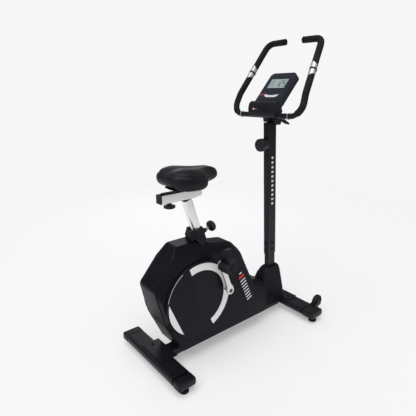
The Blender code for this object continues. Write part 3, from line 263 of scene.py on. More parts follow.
def make_finish(name, colour, roughness, metallic=0.0, specular=0.24, coat=0.0,
                coat_roughness=0.1, grain=900.0, swell=0.4, bump=0.15, depth=0.0002,
                dust=(0.20, 0.20, 0.21), amount=0.05, patch=7.0):
    """One surface finish: its own colour and gloss, with grain and light handling over it."""
    skin = bpy.data.materials.new(name)
    skin.use_nodes = True
    tree = skin.node_tree
    shader = tree.nodes["Principled BSDF"]
    shader.inputs["Metallic"].default_value = metallic
    shader.inputs["Specular IOR Level"].default_value = specular
    if metallic < 0.5:
        shader.inputs["Specular Tint"].default_value = COOL_GLOSS
    shader.inputs["Coat Weight"].default_value = coat
    shader.inputs["Coat Roughness"].default_value = coat_roughness
    place = tree.nodes.new("ShaderNodeTexCoord")
    tone = tree.nodes.new("ShaderNodeGroup")
    tone.node_tree = bpy.data.node_groups["handled_tone"]
    tone.name = "tone"
    tone.inputs["Colour"].default_value = (*colour, 1.0)
    tone.inputs["Dust Colour"].default_value = (*dust, 1.0)
    tone.inputs["Roughness"].default_value = roughness
    tone.inputs["Amount"].default_value = amount
    tone.inputs["Patch Scale"].default_value = patch
    rough = tree.nodes.new("ShaderNodeGroup")
    rough.node_tree = bpy.data.node_groups["fine_grain"]
    rough.name = "grain"
    rough.inputs["Grain Scale"].default_value = grain
    rough.inputs["Swell"].default_value = swell
    relief = tree.nodes.new("ShaderNodeBump")
    relief.name = "relief"
    relief.inputs["Strength"].default_value = bump
    relief.inputs["Distance"].default_value = depth
    tree.links.new(place.outputs["Object"], tone.inputs["Vector"])
    tree.links.new(place.outputs["Object"], rough.inputs["Vector"])
    tree.links.new(tone.outputs["Colour"], shader.inputs["Base Color"])
    tree.links.new(tone.outputs["Roughness"], shader.inputs["Roughness"])
    tree.links.new(rough.outputs["Height"], relief.inputs["Height"])
    tree.links.new(relief.outputs["Normal"], shader.inputs["Normal"])
    return skin


def weld_copy(node, name):
    """Copy a CAD solid as a welded mesh with its flat faces whole again."""
    piece = bpy.data.objects.new(name, NODES[node].data.copy())
    bpy.context.scene.collection.objects.link(piece)
    take_up(piece)
    bpy.ops.object.mode_set(mode="EDIT")
    bpy.ops.mesh.select_all(action="SELECT")
    bpy.ops.mesh.remove_doubles(threshold=0.00002)
    bpy.ops.mesh.dissolve_limited(angle_limit=math.radians(1.0))
    bpy.ops.object.mode_set(mode="OBJECT")
    return piece


def round_edges(piece, width, steps=2, angle=30.0):
    """Break the sharp edges of a piece and shade it so that its flats stay flat."""
    take_up(piece)
    edge = piece.modifiers.new("edge", "BEVEL")
    edge.width = width
    edge.segments = steps
    edge.limit_method = "ANGLE"
    edge.angle_limit = math.radians(angle)
    edge.use_clamp_overlap = True
    bpy.ops.object.modifier_apply(modifier="edge")
    shade(piece, 40.0)


def shade(piece, angle=35.0):
    """Smooth the shading across every joint flatter than the given angle."""
    take_up(piece)
    bpy.ops.object.shade_smooth_by_angle(angle=math.radians(angle))
    even = piece.modifiers.new("even", "WEIGHTED_NORMAL")
    even.keep_sharp = True
    even.weight = 80
    bpy.ops.object.modifier_apply(modifier="even")


def fit(piece, skin, body, slot, *nodes):
    """Give a piece its finish, hang it on its body and hide the CAD solids that it stands in for."""
    piece.data.materials.clear()
    piece.data.materials.append(skin)
    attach(piece, body)
    if nodes:
        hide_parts(*nodes)


def refine(node, skin, body, slot, width=0.0, angle=30.0, steps=2):
    """Stand a welded copy with eased edges in the place of one CAD solid."""
    piece = weld_copy(node, node + "_skin")
    if width > 0.0:
        round_edges(piece, width, steps, angle)
    else:
        shade(piece)
    fit(piece, skin, body, slot, node)
    return piece


make_surface_groups()
frame_paint = make_finish("frame_paint", FRAME_BLACK, 0.36, grain=1400.0, swell=0.5,
                          bump=0.10, amount=0.035)
for bar in ("rear_stabilizer", "front_stabilizer", "spine_tube", "rear_mount_plate",
            "front_mount_plate", "seat_tube", "mast_stub"):
    refine(bar, frame_paint, "frame", "frame_paint", BAR_EDGE)


# ---------------------------------------------------------------------------
# Ends of the base bars. Moulded caps push into the bars, the two front ones
# carry the transport wheels, and a levelling foot screws up into each corner.
# ---------------------------------------------------------------------------
CAP_BLACK = (0.0045, 0.0047, 0.0060)
RUBBER_BLACK = (0.0042, 0.0042, 0.0048)
STEEL_GREY = (0.42, 0.42, 0.43)


def turn_up(name, profile, place=(0.0, 0.0, 0.0), axis=(0.0, 0.0, 1.0), sides=48):
    """Draw a round part out of a disc: profile lists (height along the axis, radius)."""
    deselect()
    height, radius = profile[0]
    bpy.ops.mesh.primitive_circle_add(
        vertices=sides, radius=radius, fill_type="NGON", location=(0.0, 0.0, height))
    piece = bpy.context.object
    piece.name = name
    bpy.ops.object.transform_apply(location=True, rotation=True, scale=True)
    bpy.ops.object.mode_set(mode="EDIT")
    bpy.ops.mesh.select_all(action="SELECT")
    for up, wide in profile[1:]:
        bpy.ops.mesh.extrude_region_move(
            TRANSFORM_OT_translate={"value": (0.0, 0.0, up - height)})
        grow = wide / radius
        bpy.ops.transform.resize(value=(grow, grow, 1.0), center_override=(0.0, 0.0, up))
        height, radius = up, wide
    bpy.ops.mesh.select_all(action="SELECT")
    bpy.ops.mesh.normals_make_consistent(inside=False)
    bpy.ops.object.mode_set(mode="OBJECT")
    stand(piece, place, axis)
    return piece


def stand(piece, place, axis):
    """Carry a part made on the bench to its place, its Z along the given axis."""
    take_up(piece)
    turn = Vector(axis).to_track_quat("Z", "Y").to_matrix().to_4x4()
    piece.matrix_world = Matrix.Translation(place) @ turn
    bpy.ops.object.transform_apply(location=True, rotation=True, scale=True)


def scallop(piece, lobes, depth, low, high, least):
    """Press finger hollows into the outside of a round part that still stands on the bench."""
    for point in piece.data.vertices:
        reach = math.hypot(point.co.x, point.co.y)
        if reach > least and low <= point.co.z <= high:
            turn = math.atan2(point.co.y, point.co.x)
            press = depth * (0.5 - 0.5 * math.cos(lobes * turn))
            point.co.x *= (reach - press) / reach
            point.co.y *= (reach - press) / reach


cap_plastic = make_finish("cap_plastic", CAP_BLACK, 0.42, grain=1800.0, swell=0.2, bump=0.25,
                          amount=0.05)
rubber = make_finish("rubber", RUBBER_BLACK, 0.72, specular=0.22, grain=1100.0, swell=0.3,
                     bump=0.30, amount=0.10)
bare_steel = make_finish("bare_steel", STEEL_GREY, 0.30, metallic=1.0, grain=600.0, swell=0.3,
                         bump=0.05, dust=(0.24, 0.22, 0.20), amount=0.12)

for cap in ("rear_cap_left", "rear_cap_right", "front_cap_left", "front_cap_right"):
    refine(cap, cap_plastic, "frame", "black_plastic", 0.0012)

WHEEL_HALF = 0.0100
WHEEL_PROFILE = [
    (-WHEEL_HALF, 0.0040), (-WHEEL_HALF, 0.0088), (-0.0092, 0.0096), (-0.0074, 0.0100),
    (-0.0072, 0.0130), (-0.0084, 0.0138), (-0.0084, 0.0172), (-0.0072, 0.0180),
    (-0.0072, 0.0246), (-0.0088, 0.0256), (-0.0094, 0.0272), (-0.0094, 0.0308),
    (-0.0082, 0.0332), (-0.0060, 0.0347), (-0.0030, 0.0350), (-0.0010, 0.0350),
    (-0.0006, 0.0344),
]
for side in ("left", "right"):
    node = "transport_wheel_" + side
    low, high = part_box(node)
    middle = (Vector(low) + Vector(high)) / 2.0
    whole = WHEEL_PROFILE + [(-up, wide) for up, wide in reversed(WHEEL_PROFILE)]
    wheel = turn_up(node + "_tyre", whole, middle, (0.0, 1.0, 0.0), 56)
    shade(wheel, 32.0)
    fit(wheel, rubber, node, "rubber", node)
    pin = turn_up(node + "_pin", [
        (-0.0004, 0.0030), (-0.0004, 0.0052), (0.0010, 0.0052), (0.0016, 0.0046),
        (0.0016, 0.0024), (0.0008, 0.0020),
    ], middle + Vector((0.0, math.copysign(WHEEL_HALF, middle.y), 0.0)),
        (0.0, math.copysign(1.0, middle.y), 0.0), 24)
    shade(pin, 32.0)
    fit(pin, bare_steel, node, "bare_steel")

FOOT_PROFILE = [
    (0.0000, 0.0196), (0.0006, 0.0204), (0.0016, 0.0208), (0.0030, 0.0208), (0.0034, 0.0202),
    (0.0044, 0.0202), (0.0048, 0.0208), (0.0090, 0.0208), (0.0106, 0.0202), (0.0118, 0.0190),
    (0.0132, 0.0118), (0.0150, 0.0078), (0.0160, 0.0070), (0.0274, 0.0070),
]
for end in ("rear", "front"):
    for side in ("left", "right"):
        node = end + "_foot_" + side
        low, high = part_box(node)
        centre = ((low[0] + high[0]) / 2.0, (low[1] + high[1]) / 2.0, low[2])
        foot = turn_up(node + "_pad", FOOT_PROFILE, sides=64)
        scallop(foot, 16, 0.0009, 0.0046, 0.0119, 0.0150)
        stand(foot, centre, (0.0, 0.0, 1.0))
        shade(foot, 32.0)
        fit(foot, rubber, node, "rubber", node)


def drive_bolt(name, place, axis, body, radius=0.0062, tall=0.0034, skin=None, slot="frame_paint"):
    """A cap screw driven home: a rounded head with a hollow for the key."""
    key = radius * 0.45
    bolt = turn_up(name, [
        (-0.0004, radius * 0.55), (-0.0004, radius * 1.18), (tall * 0.22, radius * 1.18),
        (tall * 0.26, radius), (tall * 0.80, radius), (tall, radius * 0.86),
        (tall, key), (tall * 0.35, key * 0.92),
    ], place, axis, 28)
    shade(bolt, 32.0)
    fit(bolt, skin or frame_paint, body, slot)
    return bolt


for end in ("rear", "front"):
    low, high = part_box(end + "_mount_plate")
    for side, across in (("left", 0.058), ("right", -0.058)):
        spot = ((low[0] + high[0]) / 2.0, across, high[2])
        drive_bolt(end + "_plate_bolt_" + side, spot, (0.0, 0.0, 1.0), "frame", 0.0072, 0.0044)

# ---------------------------------------------------------------------------
# Casing. Two moulded halves meet down the middle, with a stepped flank round
# the drive. Black satin plastic with a fine spark-eroded grain.
# ---------------------------------------------------------------------------
CASING_BLACK = (0.0036, 0.0040, 0.0062)
PRINT_SILVER = (0.80, 0.81, 0.82)
PRINT_RED = (0.62, 0.030, 0.028)
PANEL_PLACE = Vector((0.0190, 0.0, 0.2640))
PANEL_LEAN = math.radians(23.5)
PANEL_SIZE = (0.060, 0.226)
PANEL_THICK = 0.0016
PRINT_THICK = 0.0003
MARK_PITCH = 0.0175
MARK_COUNT = 8
CASING_FLANK = 0.0820
SLOPE_IN, SLOPE_OUT = 0.0590, 0.0815
SLOPE_FRONT, SLOPE_LOW, SLOPE_HIGH = -0.3720, 0.1100, 0.4990
LIP_WIDTH, LIP_FALL, LIP_DEPTH = 0.0015, 0.0035, 0.0060

casing_plastic = make_finish("casing_plastic", CASING_BLACK, 0.40, specular=0.12, grain=2200.0,
                             swell=0.25, bump=0.22, amount=0.03, patch=5.0)


def pick_faces(piece, wanted):
    """Go into edit mode with only the wanted faces of a piece selected."""
    take_up(piece)
    bpy.ops.object.mode_set(mode="EDIT")
    bpy.ops.mesh.select_mode(type="FACE")
    bpy.ops.mesh.select_all(action="DESELECT")
    bpy.ops.object.mode_set(mode="OBJECT")
    for face in piece.data.polygons:
        face.select = wanted(face)
    bpy.ops.object.mode_set(mode="EDIT")


def sink_flank(shell, sign):
    """Press the sloping band behind the round cover inwards, so that it leaves a lip."""
    def on_slope(face):
        middle = face.center
        outer = face.normal.y * sign > 0.15
        sloping = SLOPE_IN < abs(middle.y) < SLOPE_OUT
        behind = middle.x < SLOPE_FRONT and SLOPE_LOW < middle.z < SLOPE_HIGH
        return outer and sloping and behind

    pick_faces(shell, on_slope)
    bpy.ops.mesh.inset(thickness=LIP_WIDTH, depth=0.0)
    bpy.ops.mesh.inset(thickness=LIP_FALL, depth=-LIP_DEPTH)
    bpy.ops.mesh.select_mode(type="VERT")
    bpy.ops.object.mode_set(mode="OBJECT")


for side, sign in SIDES:
    shell = weld_copy("casing_" + side, "casing_" + side + "_skin")
    sink_flank(shell, sign)
    round_edges(shell, 0.0018, 3, 18.0)
    fit(shell, casing_plastic, "frame", "casing_plastic", "casing_" + side)


def lay_plate(name, across, up, thickness, corner, place, turn, sign, foot=0.0):
    """A thin rounded plate on the casing's flank: across runs forward, up runs up it."""
    deselect()
    bpy.ops.mesh.primitive_plane_add(size=1.0, location=(0.0, 0.0, 0.0))
    plate = bpy.context.object
    plate.name = name
    plate.scale = (across, up, 1.0)
    bpy.ops.object.transform_apply(location=False, rotation=False, scale=True)
    bpy.ops.object.mode_set(mode="EDIT")
    bpy.ops.mesh.select_all(action="SELECT")
    if corner > 0.0:
        bpy.ops.mesh.bevel(offset=corner, segments=6, affect="VERTICES")
    bpy.ops.mesh.select_all(action="SELECT")
    bpy.ops.mesh.extrude_region_move(TRANSFORM_OT_translate={"value": (0.0, 0.0, thickness)})
    bpy.ops.mesh.select_all(action="SELECT")
    bpy.ops.mesh.normals_make_consistent(inside=False)
    bpy.ops.object.mode_set(mode="OBJECT")
    forward = Vector((math.cos(turn), 0.0, math.sin(turn)))
    upward = Vector((-math.sin(turn), 0.0, math.cos(turn)))
    out = Vector((0.0, sign, 0.0))
    seat = Matrix((
        (forward.x, upward.x, out.x, place[0]),
        (forward.y, upward.y, out.y, sign * foot),
        (forward.z, upward.z, out.z, place[2]),
        (0.0, 0.0, 0.0, 1.0),
    ))
    plate.matrix_world = seat
    bpy.ops.object.transform_apply(location=True, rotation=True, scale=True)
    bpy.ops.object.mode_set(mode="EDIT")
    bpy.ops.mesh.select_all(action="SELECT")
    bpy.ops.mesh.normals_make_consistent(inside=False)
    bpy.ops.object.mode_set(mode="OBJECT")
    return plate


PANEL_MARKS = [("tick", 0.0900, (0.0150, 0.0070)), ("red_bar", 0.0690, (0.0330, 0.0140))]
PANEL_MARKS += [("bar_%d" % (step + 1), 0.0470 - MARK_PITCH * step, (0.0330, 0.0062))
                for step in range(MARK_COUNT)]
silver_print = make_finish("silver_print", PRINT_SILVER, 0.36, grain=500.0, bump=0.04,
                           dust=(0.5, 0.5, 0.5), amount=0.08)
red_print = make_finish("red_print", PRINT_RED, 0.40, grain=500.0, bump=0.04, amount=0.05)
for side, sign in SIDES:
    panel = lay_plate("flank_panel_" + side, *PANEL_SIZE, PANEL_THICK, 0.014, PANEL_PLACE,
                      PANEL_LEAN, sign, CASING_FLANK - 0.0002)
    round_edges(panel, 0.0006)
    fit(panel, casing_plastic, "frame", "casing_plastic")
    for label, along, size in PANEL_MARKS:
        ink = red_print if label == "red_bar" else silver_print
        spot = (
            PANEL_PLACE.x - math.sin(PANEL_LEAN) * along, 0.0,
            PANEL_PLACE.z + math.cos(PANEL_LEAN) * along,
        )
        mark = lay_plate("flank_" + label + "_" + side, *size, PRINT_THICK, 0.0010, spot,
                         PANEL_LEAN, sign, CASING_FLANK + PANEL_THICK - PRINT_THICK)
        fit(mark, ink, "frame", "crank_silver" if ink is silver_print else "button_rubber")

for side, sign in SIDES:
    for label, place in (("upper", (-0.3790, 0.4300)), ("lower", (-0.3400, 0.1150)),
                         ("front", (0.1500, 0.1050))):
        drive_bolt("casing_screw_" + label + "_" + side,
                   (place[0], sign * (CASING_FLANK - 0.0004), place[1]), (0.0, sign, 0.0),
                   "frame", 0.0042, 0.0014, cap_plastic, "black_plastic")

# ---------------------------------------------------------------------------
# Round cover over the belt drive on each flank. Glossier plastic than the
# casing, with a rolled rim and two silver bands let into its face.
# ---------------------------------------------------------------------------
COVER_BLACK = (0.0045, 0.0047, 0.0064)
COVER_CENTRE = Vector((-0.26525, 0.0, 0.3060))
COVER_FACE = 0.0950
COVER_PROFILE = [
    (0.0824, 0.0400), (0.0824, 0.1738), (0.0880, 0.1738), (0.0910, 0.1732), (0.0934, 0.1716),
    (0.0945, 0.1698), (0.0946, 0.1688), (0.0938, 0.1680), (0.0938, 0.1672), (0.0946, 0.1664),
    (0.0949, 0.1640), (0.0950, 0.1400), (0.0950, 0.0400),
]
BAND_OUTER = 0.1655
BAND_INNER = 0.1330
BAND_START = math.radians(-65.0)
BAND_END = math.radians(110.0)
CHORD_HIGH = Vector((-0.43425, 0.3500))
CHORD_LOW = Vector((-0.35525, 0.1620))
RIM_LINE = (0.1700, 0.1712, math.radians(122.0), math.radians(168.0))
AXLE_HOLE = 0.0150
CRANK_CENTRE = Vector((-0.11875, 0.0, 0.3100))

cover_plastic = make_finish("cover_plastic", COVER_BLACK, 0.30, specular=0.11, grain=1600.0,
                            swell=0.6, bump=0.06, amount=0.04, patch=4.0)
band_silver = make_finish("band_silver", (0.86, 0.86, 0.87), 0.30, metallic=0.15, coat=0.3,
                          grain=700.0, bump=0.04, dust=(0.62, 0.62, 0.63), amount=0.10)


def bore_cover(cover, sign):
    """Drill the way for the crank axle through a round cover."""
    deselect()
    bpy.ops.mesh.primitive_cylinder_add(
        vertices=40, radius=AXLE_HOLE, depth=0.06,
        location=(CRANK_CENTRE.x, sign * 0.090, CRANK_CENTRE.z),
        rotation=(math.pi / 2, 0.0, 0.0))
    drill = bpy.context.object
    take_up(cover)
    way = cover.modifiers.new("way", "BOOLEAN")
    way.operation = "DIFFERENCE"
    way.solver = "EXACT"
    way.object = drill
    bpy.ops.object.modifier_apply(modifier="way")
    bpy.data.objects.remove(drill, do_unlink=True)


def ring_band(name, inner, outer, start, end, sign):
    """A flat band round the cover's centre, from one angle to another."""
    deselect()
    bpy.ops.mesh.primitive_circle_add(vertices=144, radius=outer, fill_type="NOTHING")
    band = bpy.context.object
    band.name = name
    bpy.ops.object.mode_set(mode="EDIT")
    bpy.ops.mesh.select_all(action="SELECT")
    bpy.ops.mesh.extrude_region_move(TRANSFORM_OT_translate={"value": (0.0, 0.0, 0.0)})
    shrink = inner / outer
    bpy.ops.transform.resize(value=(shrink, shrink, 1.0), center_override=(0.0, 0.0, 0.0))
    bpy.ops.object.mode_set(mode="OBJECT")
    pick_faces(band, lambda face: not start <= math.atan2(face.center.y, face.center.x) <= end)
    bpy.ops.mesh.delete(type="FACE")
    bpy.ops.mesh.select_mode(type="VERT")
    finish_band(sign)
    return band


def finish_band(sign):
    """Give a flat band its thickness and set it on the cover's face, in edit mode."""
    bpy.ops.mesh.select_all(action="SELECT")
    bpy.ops.mesh.extrude_region_move(TRANSFORM_OT_translate={"value": (0.0, 0.0, 0.0006)})
    bpy.ops.object.mode_set(mode="OBJECT")
    band = bpy.context.object
    seat = Matrix((
        (1.0, 0.0, 0.0, COVER_CENTRE.x),
        (0.0, 0.0, sign, sign * (COVER_FACE - 0.0001)),
        (0.0, 1.0, 0.0, COVER_CENTRE.z),
        (0.0, 0.0, 0.0, 1.0),
    ))
    band.matrix_world = seat
    bpy.ops.object.transform_apply(location=True, rotation=True, scale=True)
    bpy.ops.object.mode_set(mode="EDIT")
    bpy.ops.mesh.select_all(action="SELECT")
    bpy.ops.mesh.normals_make_consistent(inside=False)
    bpy.ops.object.mode_set(mode="OBJECT")


def chord_band(name, radius, sign):
    """The piece of a disc behind a straight cut across it."""
    deselect()
    bpy.ops.mesh.primitive_circle_add(vertices=144, radius=radius, fill_type="NGON")
    band = bpy.context.object
    band.name = name
    middle = Vector((COVER_CENTRE.x, COVER_CENTRE.z))
    start, end = CHORD_HIGH - middle, CHORD_LOW - middle
    run = end - start
    bpy.ops.object.mode_set(mode="EDIT")
    bpy.ops.mesh.select_all(action="SELECT")
    bpy.ops.mesh.bisect(
        plane_co=(start.x, start.y, 0.0), plane_no=(-run.y, run.x, 0.0), clear_outer=True)
    finish_band(sign)
    return band


for side, sign in SIDES:
    node = "disc_cover_" + side
    cover = turn_up(node + "_shell", COVER_PROFILE,
                    (COVER_CENTRE.x, 0.0, COVER_CENTRE.z), (0.0, sign, 0.0), 128)
    bore_cover(cover, sign)
    shade(cover, 30.0)
    fit(cover, cover_plastic, "frame", "disc_plastic", node)
    fit(ring_band("silver_band_" + side, BAND_INNER, BAND_OUTER, BAND_START, BAND_END, sign),
        band_silver, "frame", "crank_silver")
    fit(chord_band("silver_chord_" + side, BAND_OUTER, sign), band_silver, "frame",
        "crank_silver")
    fit(ring_band("rim_line_" + side, *RIM_LINE, sign), band_silver, "frame", "crank_silver")

# ---------------------------------------------------------------------------
# Drive inside the casing. A cast flywheel and its belt and pulleys, with the
# magnet bracket that swings towards the rim when the resistance knob turns.
# ---------------------------------------------------------------------------
cast_iron = make_finish("cast_iron", (0.090, 0.090, 0.096), 0.52, metallic=0.8, grain=500.0,
                        swell=0.3, bump=0.35, depth=0.0004, dust=(0.18, 0.14, 0.11),
                        amount=0.18)
for node, skin, body, slot in (
    ("flywheel", cast_iron, "flywheel_set", "cast_iron"),
    ("flywheel_axle", bare_steel, "frame", "bare_steel"),
    ("flywheel_bracket", frame_paint, "frame", "frame_paint"),
    ("magnet_bracket", bare_steel, "brake", "bare_steel"),
    ("drive_pulley", cap_plastic, "crank_set", "black_plastic"),
    ("drive_belt", rubber, "frame", "rubber"),
    ("tension_cable", cap_plastic, "frame", "black_plastic"),
):
    refine(node, skin, body, slot)

# ---------------------------------------------------------------------------
# Cranks and pedals. Forged arms with a satin silver finish press onto a steel
# axle, and each pedal is a ribbed block under an arched toe strap.
# ---------------------------------------------------------------------------
ARM_SILVER = (0.78, 0.78, 0.775)
PEDAL_BLACK = (0.0035, 0.0035, 0.0042)
STRAP_BLACK = (0.0080, 0.0080, 0.0105)
PEDAL_HALF_TALL = 0.0200
PEDAL_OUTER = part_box("pedal_left")[1][1]
PEDAL_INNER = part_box("pedal_left")[0][1]
TREAD_RIBS = 6
TREAD_START, TREAD_PITCH = 0.008, 0.0087
ARM_CUTS = (0.10, 0.16, 0.22, 0.50, 0.78, 0.84, 0.90)
ARM_WAIST = 0.30

arm_silver = make_finish("arm_silver", ARM_SILVER, 0.30, metallic=0.55, coat=0.35,
                         coat_roughness=0.15, grain=900.0, bump=0.06, dust=(0.55, 0.55, 0.55),
                         amount=0.12)
pedal_plastic = make_finish("pedal_plastic", PEDAL_BLACK, 0.55, grain=1500.0, bump=0.35,
                            amount=0.12)
strap_rubber = make_finish("strap_rubber", STRAP_BLACK, 0.46, specular=0.16, grain=900.0,
                           swell=0.5, bump=0.15, amount=0.06)
bolt_brown = make_finish("bolt_brown", (0.16, 0.12, 0.08), 0.42, metallic=0.7, grain=900.0,
                         bump=0.10, dust=(0.05, 0.04, 0.03), amount=0.3, patch=60.0)

refine("crank_axle", bare_steel, "crank_set", "bare_steel")


def bar_piece(name, size, place, turn, edge):
    """A short straight bar with eased edges, turned about the Y axis."""
    deselect()
    bpy.ops.mesh.primitive_cube_add(size=1.0, location=(0.0, 0.0, 0.0))
    bar = bpy.context.object
    bar.name = name
    bar.scale = size
    bpy.ops.object.transform_apply(location=False, rotation=False, scale=True)
    bar.matrix_world = Matrix.Translation(place) @ Matrix.Rotation(turn, 4, "Y")
    bpy.ops.object.transform_apply(location=True, rotation=True, scale=True)
    round_edges(bar, edge)
    return bar


def join_pieces(pieces, name):
    """Join loose pieces of one moulding under one name."""
    deselect()
    for piece in pieces:
        piece.select_set(True)
    bpy.context.view_layer.objects.active = pieces[0]
    bpy.ops.object.join()
    pieces[0].name = name
    return pieces[0]


def waist_arm(arm, eye):
    """Draw the arm in between its two round ends, as a forging is."""
    run = eye - CRANK_CENTRE
    run.y = 0.0
    along = run.normalized()
    across = Vector((-along.z, 0.0, along.x))
    take_up(arm)
    bpy.ops.object.mode_set(mode="EDIT")
    for share in ARM_CUTS:
        bpy.ops.mesh.select_all(action="SELECT")
        bpy.ops.mesh.bisect(plane_co=CRANK_CENTRE + run * share, plane_no=along)
    bpy.ops.object.mode_set(mode="OBJECT")
    for point in arm.data.vertices:
        place = point.co - CRANK_CENTRE
        share = place.dot(along) / run.length
        if not ARM_CUTS[0] - 0.01 < share < ARM_CUTS[-1] + 0.01:
            continue
        edge = min(share - ARM_CUTS[0], ARM_CUTS[-1] - share)
        draw = 1.0 - ARM_WAIST * min(max(edge, 0.0) / 0.12, 1.0)
        wide = place.dot(across)
        point.co += across * (wide * draw - wide)


for side, sign in SIDES:
    low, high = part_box("pedal_" + side)
    eye = Vector(((low[0] + high[0]) / 2.0, 0.0, (low[2] + high[2]) / 2.0))
    arm = weld_copy("crank_" + side, "crank_" + side + "_arm")
    waist_arm(arm, eye)
    round_edges(arm, 0.0024, 3, 40.0)
    fit(arm, arm_silver, "crank_set", "crank_silver", "crank_" + side)
    drive_bolt("crank_bolt_" + side, (CRANK_CENTRE.x, sign * 0.1280, CRANK_CENTRE.z),
               (0.0, sign, 0.0), "crank_set", 0.0075, 0.0040, bolt_brown, "bare_steel")
    node = "pedal_" + side
    body = node + "_set"
    refine(node, pedal_plastic, body, "black_plastic", 0.0016)
    ribs = []
    for face in (1.0, -1.0):
        for step in range(TREAD_RIBS):
            across = PEDAL_INNER + TREAD_START + step * TREAD_PITCH
            ribs.append(bar_piece(
                "tread_rib", (0.038, 0.0026, 0.0024),
                (eye.x, sign * across, eye.z + face * PEDAL_HALF_TALL), 0.0, 0.0005))
    for lean in (30.0, 90.0, 150.0):
        ribs.append(bar_piece(
            "end_rib", (0.046, 0.0030, 0.0034),
            (eye.x, sign * (PEDAL_OUTER + 0.0004), eye.z), math.radians(lean),
            0.0006))
    ring = turn_up("end_ring", [
        (-0.0006, 0.0060), (-0.0006, 0.0175), (0.0018, 0.0175), (0.0022, 0.0168),
        (0.0022, 0.0150), (0.0002, 0.0146), (0.0002, 0.0078), (0.0026, 0.0074),
        (0.0030, 0.0066), (0.0030, 0.0030),
    ], (eye.x, sign * PEDAL_OUTER, eye.z), (0.0, sign, 0.0), 36)
    shade(ring, 32.0)
    ribs.append(ring)
    fit(join_pieces(ribs, node + "_ribs"), pedal_plastic, body, "black_plastic")
    refine("toe_strap_" + side, strap_rubber, body, "rubber")

# ---------------------------------------------------------------------------
# Seat post. A flat-sided chromed tube slides in a moulded collar, and a spring
# pin with a fluted knob drops into one of its holes.
# ---------------------------------------------------------------------------
CHROME_TONE = (0.80, 0.80, 0.79)
SEAT_UP = Vector((-0.3206, 0.0, 0.9472))
SEAT_OUT = Vector((0.9472, 0.0, 0.3206))
PIN_UP = 0.265


def make_brushed(name, colour, roughness, lean, stretch=0.02, streaks=700.0, depth=0.25,
                 coat=0.0):
    """Polished metal with the long faint marks that drawing leaves along a tube."""
    skin = make_finish(name, colour, roughness, metallic=1.0, grain=streaks, swell=0.15,
                       bump=depth, depth=0.00006, coat=coat, dust=(0.52, 0.52, 0.51),
                       amount=0.10, patch=9.0)
    tree = skin.node_tree
    place = next(node for node in tree.nodes if node.type == "TEX_COORD")
    along = tree.nodes.new("ShaderNodeMapping")
    along.inputs["Rotation"].default_value = (0.0, lean, 0.0)
    along.inputs["Scale"].default_value = (1.0, 1.0, stretch)
    tree.links.new(place.outputs["Object"], along.inputs["Vector"])
    tree.links.new(along.outputs["Vector"], tree.nodes["grain"].inputs["Vector"])
    return skin


post_chrome = make_brushed("post_chrome", CHROME_TONE, 0.20, math.radians(18.7))
rail_chrome = make_brushed("rail_chrome", CHROME_TONE, 0.22, math.radians(90.0))
knob_plastic = make_finish("knob_plastic", (0.0045, 0.0045, 0.0055), 0.38, specular=0.40,
                           grain=1500.0, swell=0.3, bump=0.15, amount=0.06)

SKIRT_OUTLINE = [
    (-0.2680, 0.6000), (-0.1930, 0.5930), (-0.1960, 0.5700), (-0.2040, 0.5400), (-0.2164, 0.5250),
    (-0.2330, 0.5380), (-0.2460, 0.5590), (-0.2530, 0.5670), (-0.2620, 0.5600), (-0.2720, 0.5600),
]
SKIRT_REAR = {"right": -0.2720, "left": -0.2420}
SKIRT_TOP = 0.6040
SKIRT_INNER, SKIRT_TOP_HALF, SKIRT_FLARE = 0.0150, 0.0300, 0.36


def cut_outline(name, outline, start, end):
    """A flat part cut to an outline of (x, z) corners, standing between two y values."""
    deselect()
    bpy.ops.mesh.primitive_circle_add(vertices=len(outline), radius=1.0, fill_type="NGON")
    part = bpy.context.object
    part.name = name
    for point, (x, z) in zip(part.data.vertices, outline):
        point.co = (x, start, z)
    bpy.ops.object.mode_set(mode="EDIT")
    bpy.ops.mesh.select_all(action="SELECT")
    bpy.ops.mesh.extrude_region_move(TRANSFORM_OT_translate={"value": (0.0, end - start, 0.0)})
    bpy.ops.mesh.select_all(action="SELECT")
    bpy.ops.mesh.normals_make_consistent(inside=False)
    bpy.ops.object.mode_set(mode="OBJECT")
    return part


for side, sign in SIDES:
    skirt = cut_outline("collar_skirt_" + side, SKIRT_OUTLINE, sign * SKIRT_INNER, sign * 0.0500)
    for point in skirt.data.vertices:
        if abs(point.co.y) > SKIRT_TOP_HALF:
            point.co.y = sign * (SKIRT_TOP_HALF + (SKIRT_TOP - point.co.z) * SKIRT_FLARE)
        point.co.x = max(point.co.x, SKIRT_REAR[side])
    round_edges(skirt, 0.0022, 3)
    fit(skirt, cap_plastic, "frame", "black_plastic")
refine("seat_post", post_chrome, "seat_post_set", "chromed_steel", 0.0010)
refine("seat_collar", cap_plastic, "frame", "black_plastic", 0.0016)

pin_foot = CRANK_CENTRE + SEAT_UP * PIN_UP
stem = turn_up("pop_pin_stem", [
    (0.0208, 0.0020), (0.0208, 0.0030), (0.0230, 0.0046), (0.0470, 0.0046), (0.0474, 0.0072),
    (0.0500, 0.0075), (0.0600, 0.0075), (0.0604, 0.0062), (0.0700, 0.0060),
], pin_foot, SEAT_OUT, 28)
shade(stem, 32.0)
fit(stem, bare_steel, "pop_pin", "bare_steel", "pop_pin")
pull = turn_up("pop_pin_knob", [
    (0.0635, 0.0062), (0.0635, 0.0110), (0.0655, 0.0145), (0.0685, 0.0200), (0.0720, 0.0238),
    (0.0758, 0.0251), (0.0800, 0.0253), (0.0850, 0.0250), (0.0898, 0.0232), (0.0932, 0.0196),
    (0.0955, 0.0140), (0.0964, 0.0070),
], sides=96)
scallop(pull, 16, 0.0016, 0.0670, 0.0940, 0.0180)
stand(pull, pin_foot, SEAT_OUT)
shade(pull, 50.0)
fit(pull, knob_plastic, "pop_pin", "black_plastic")

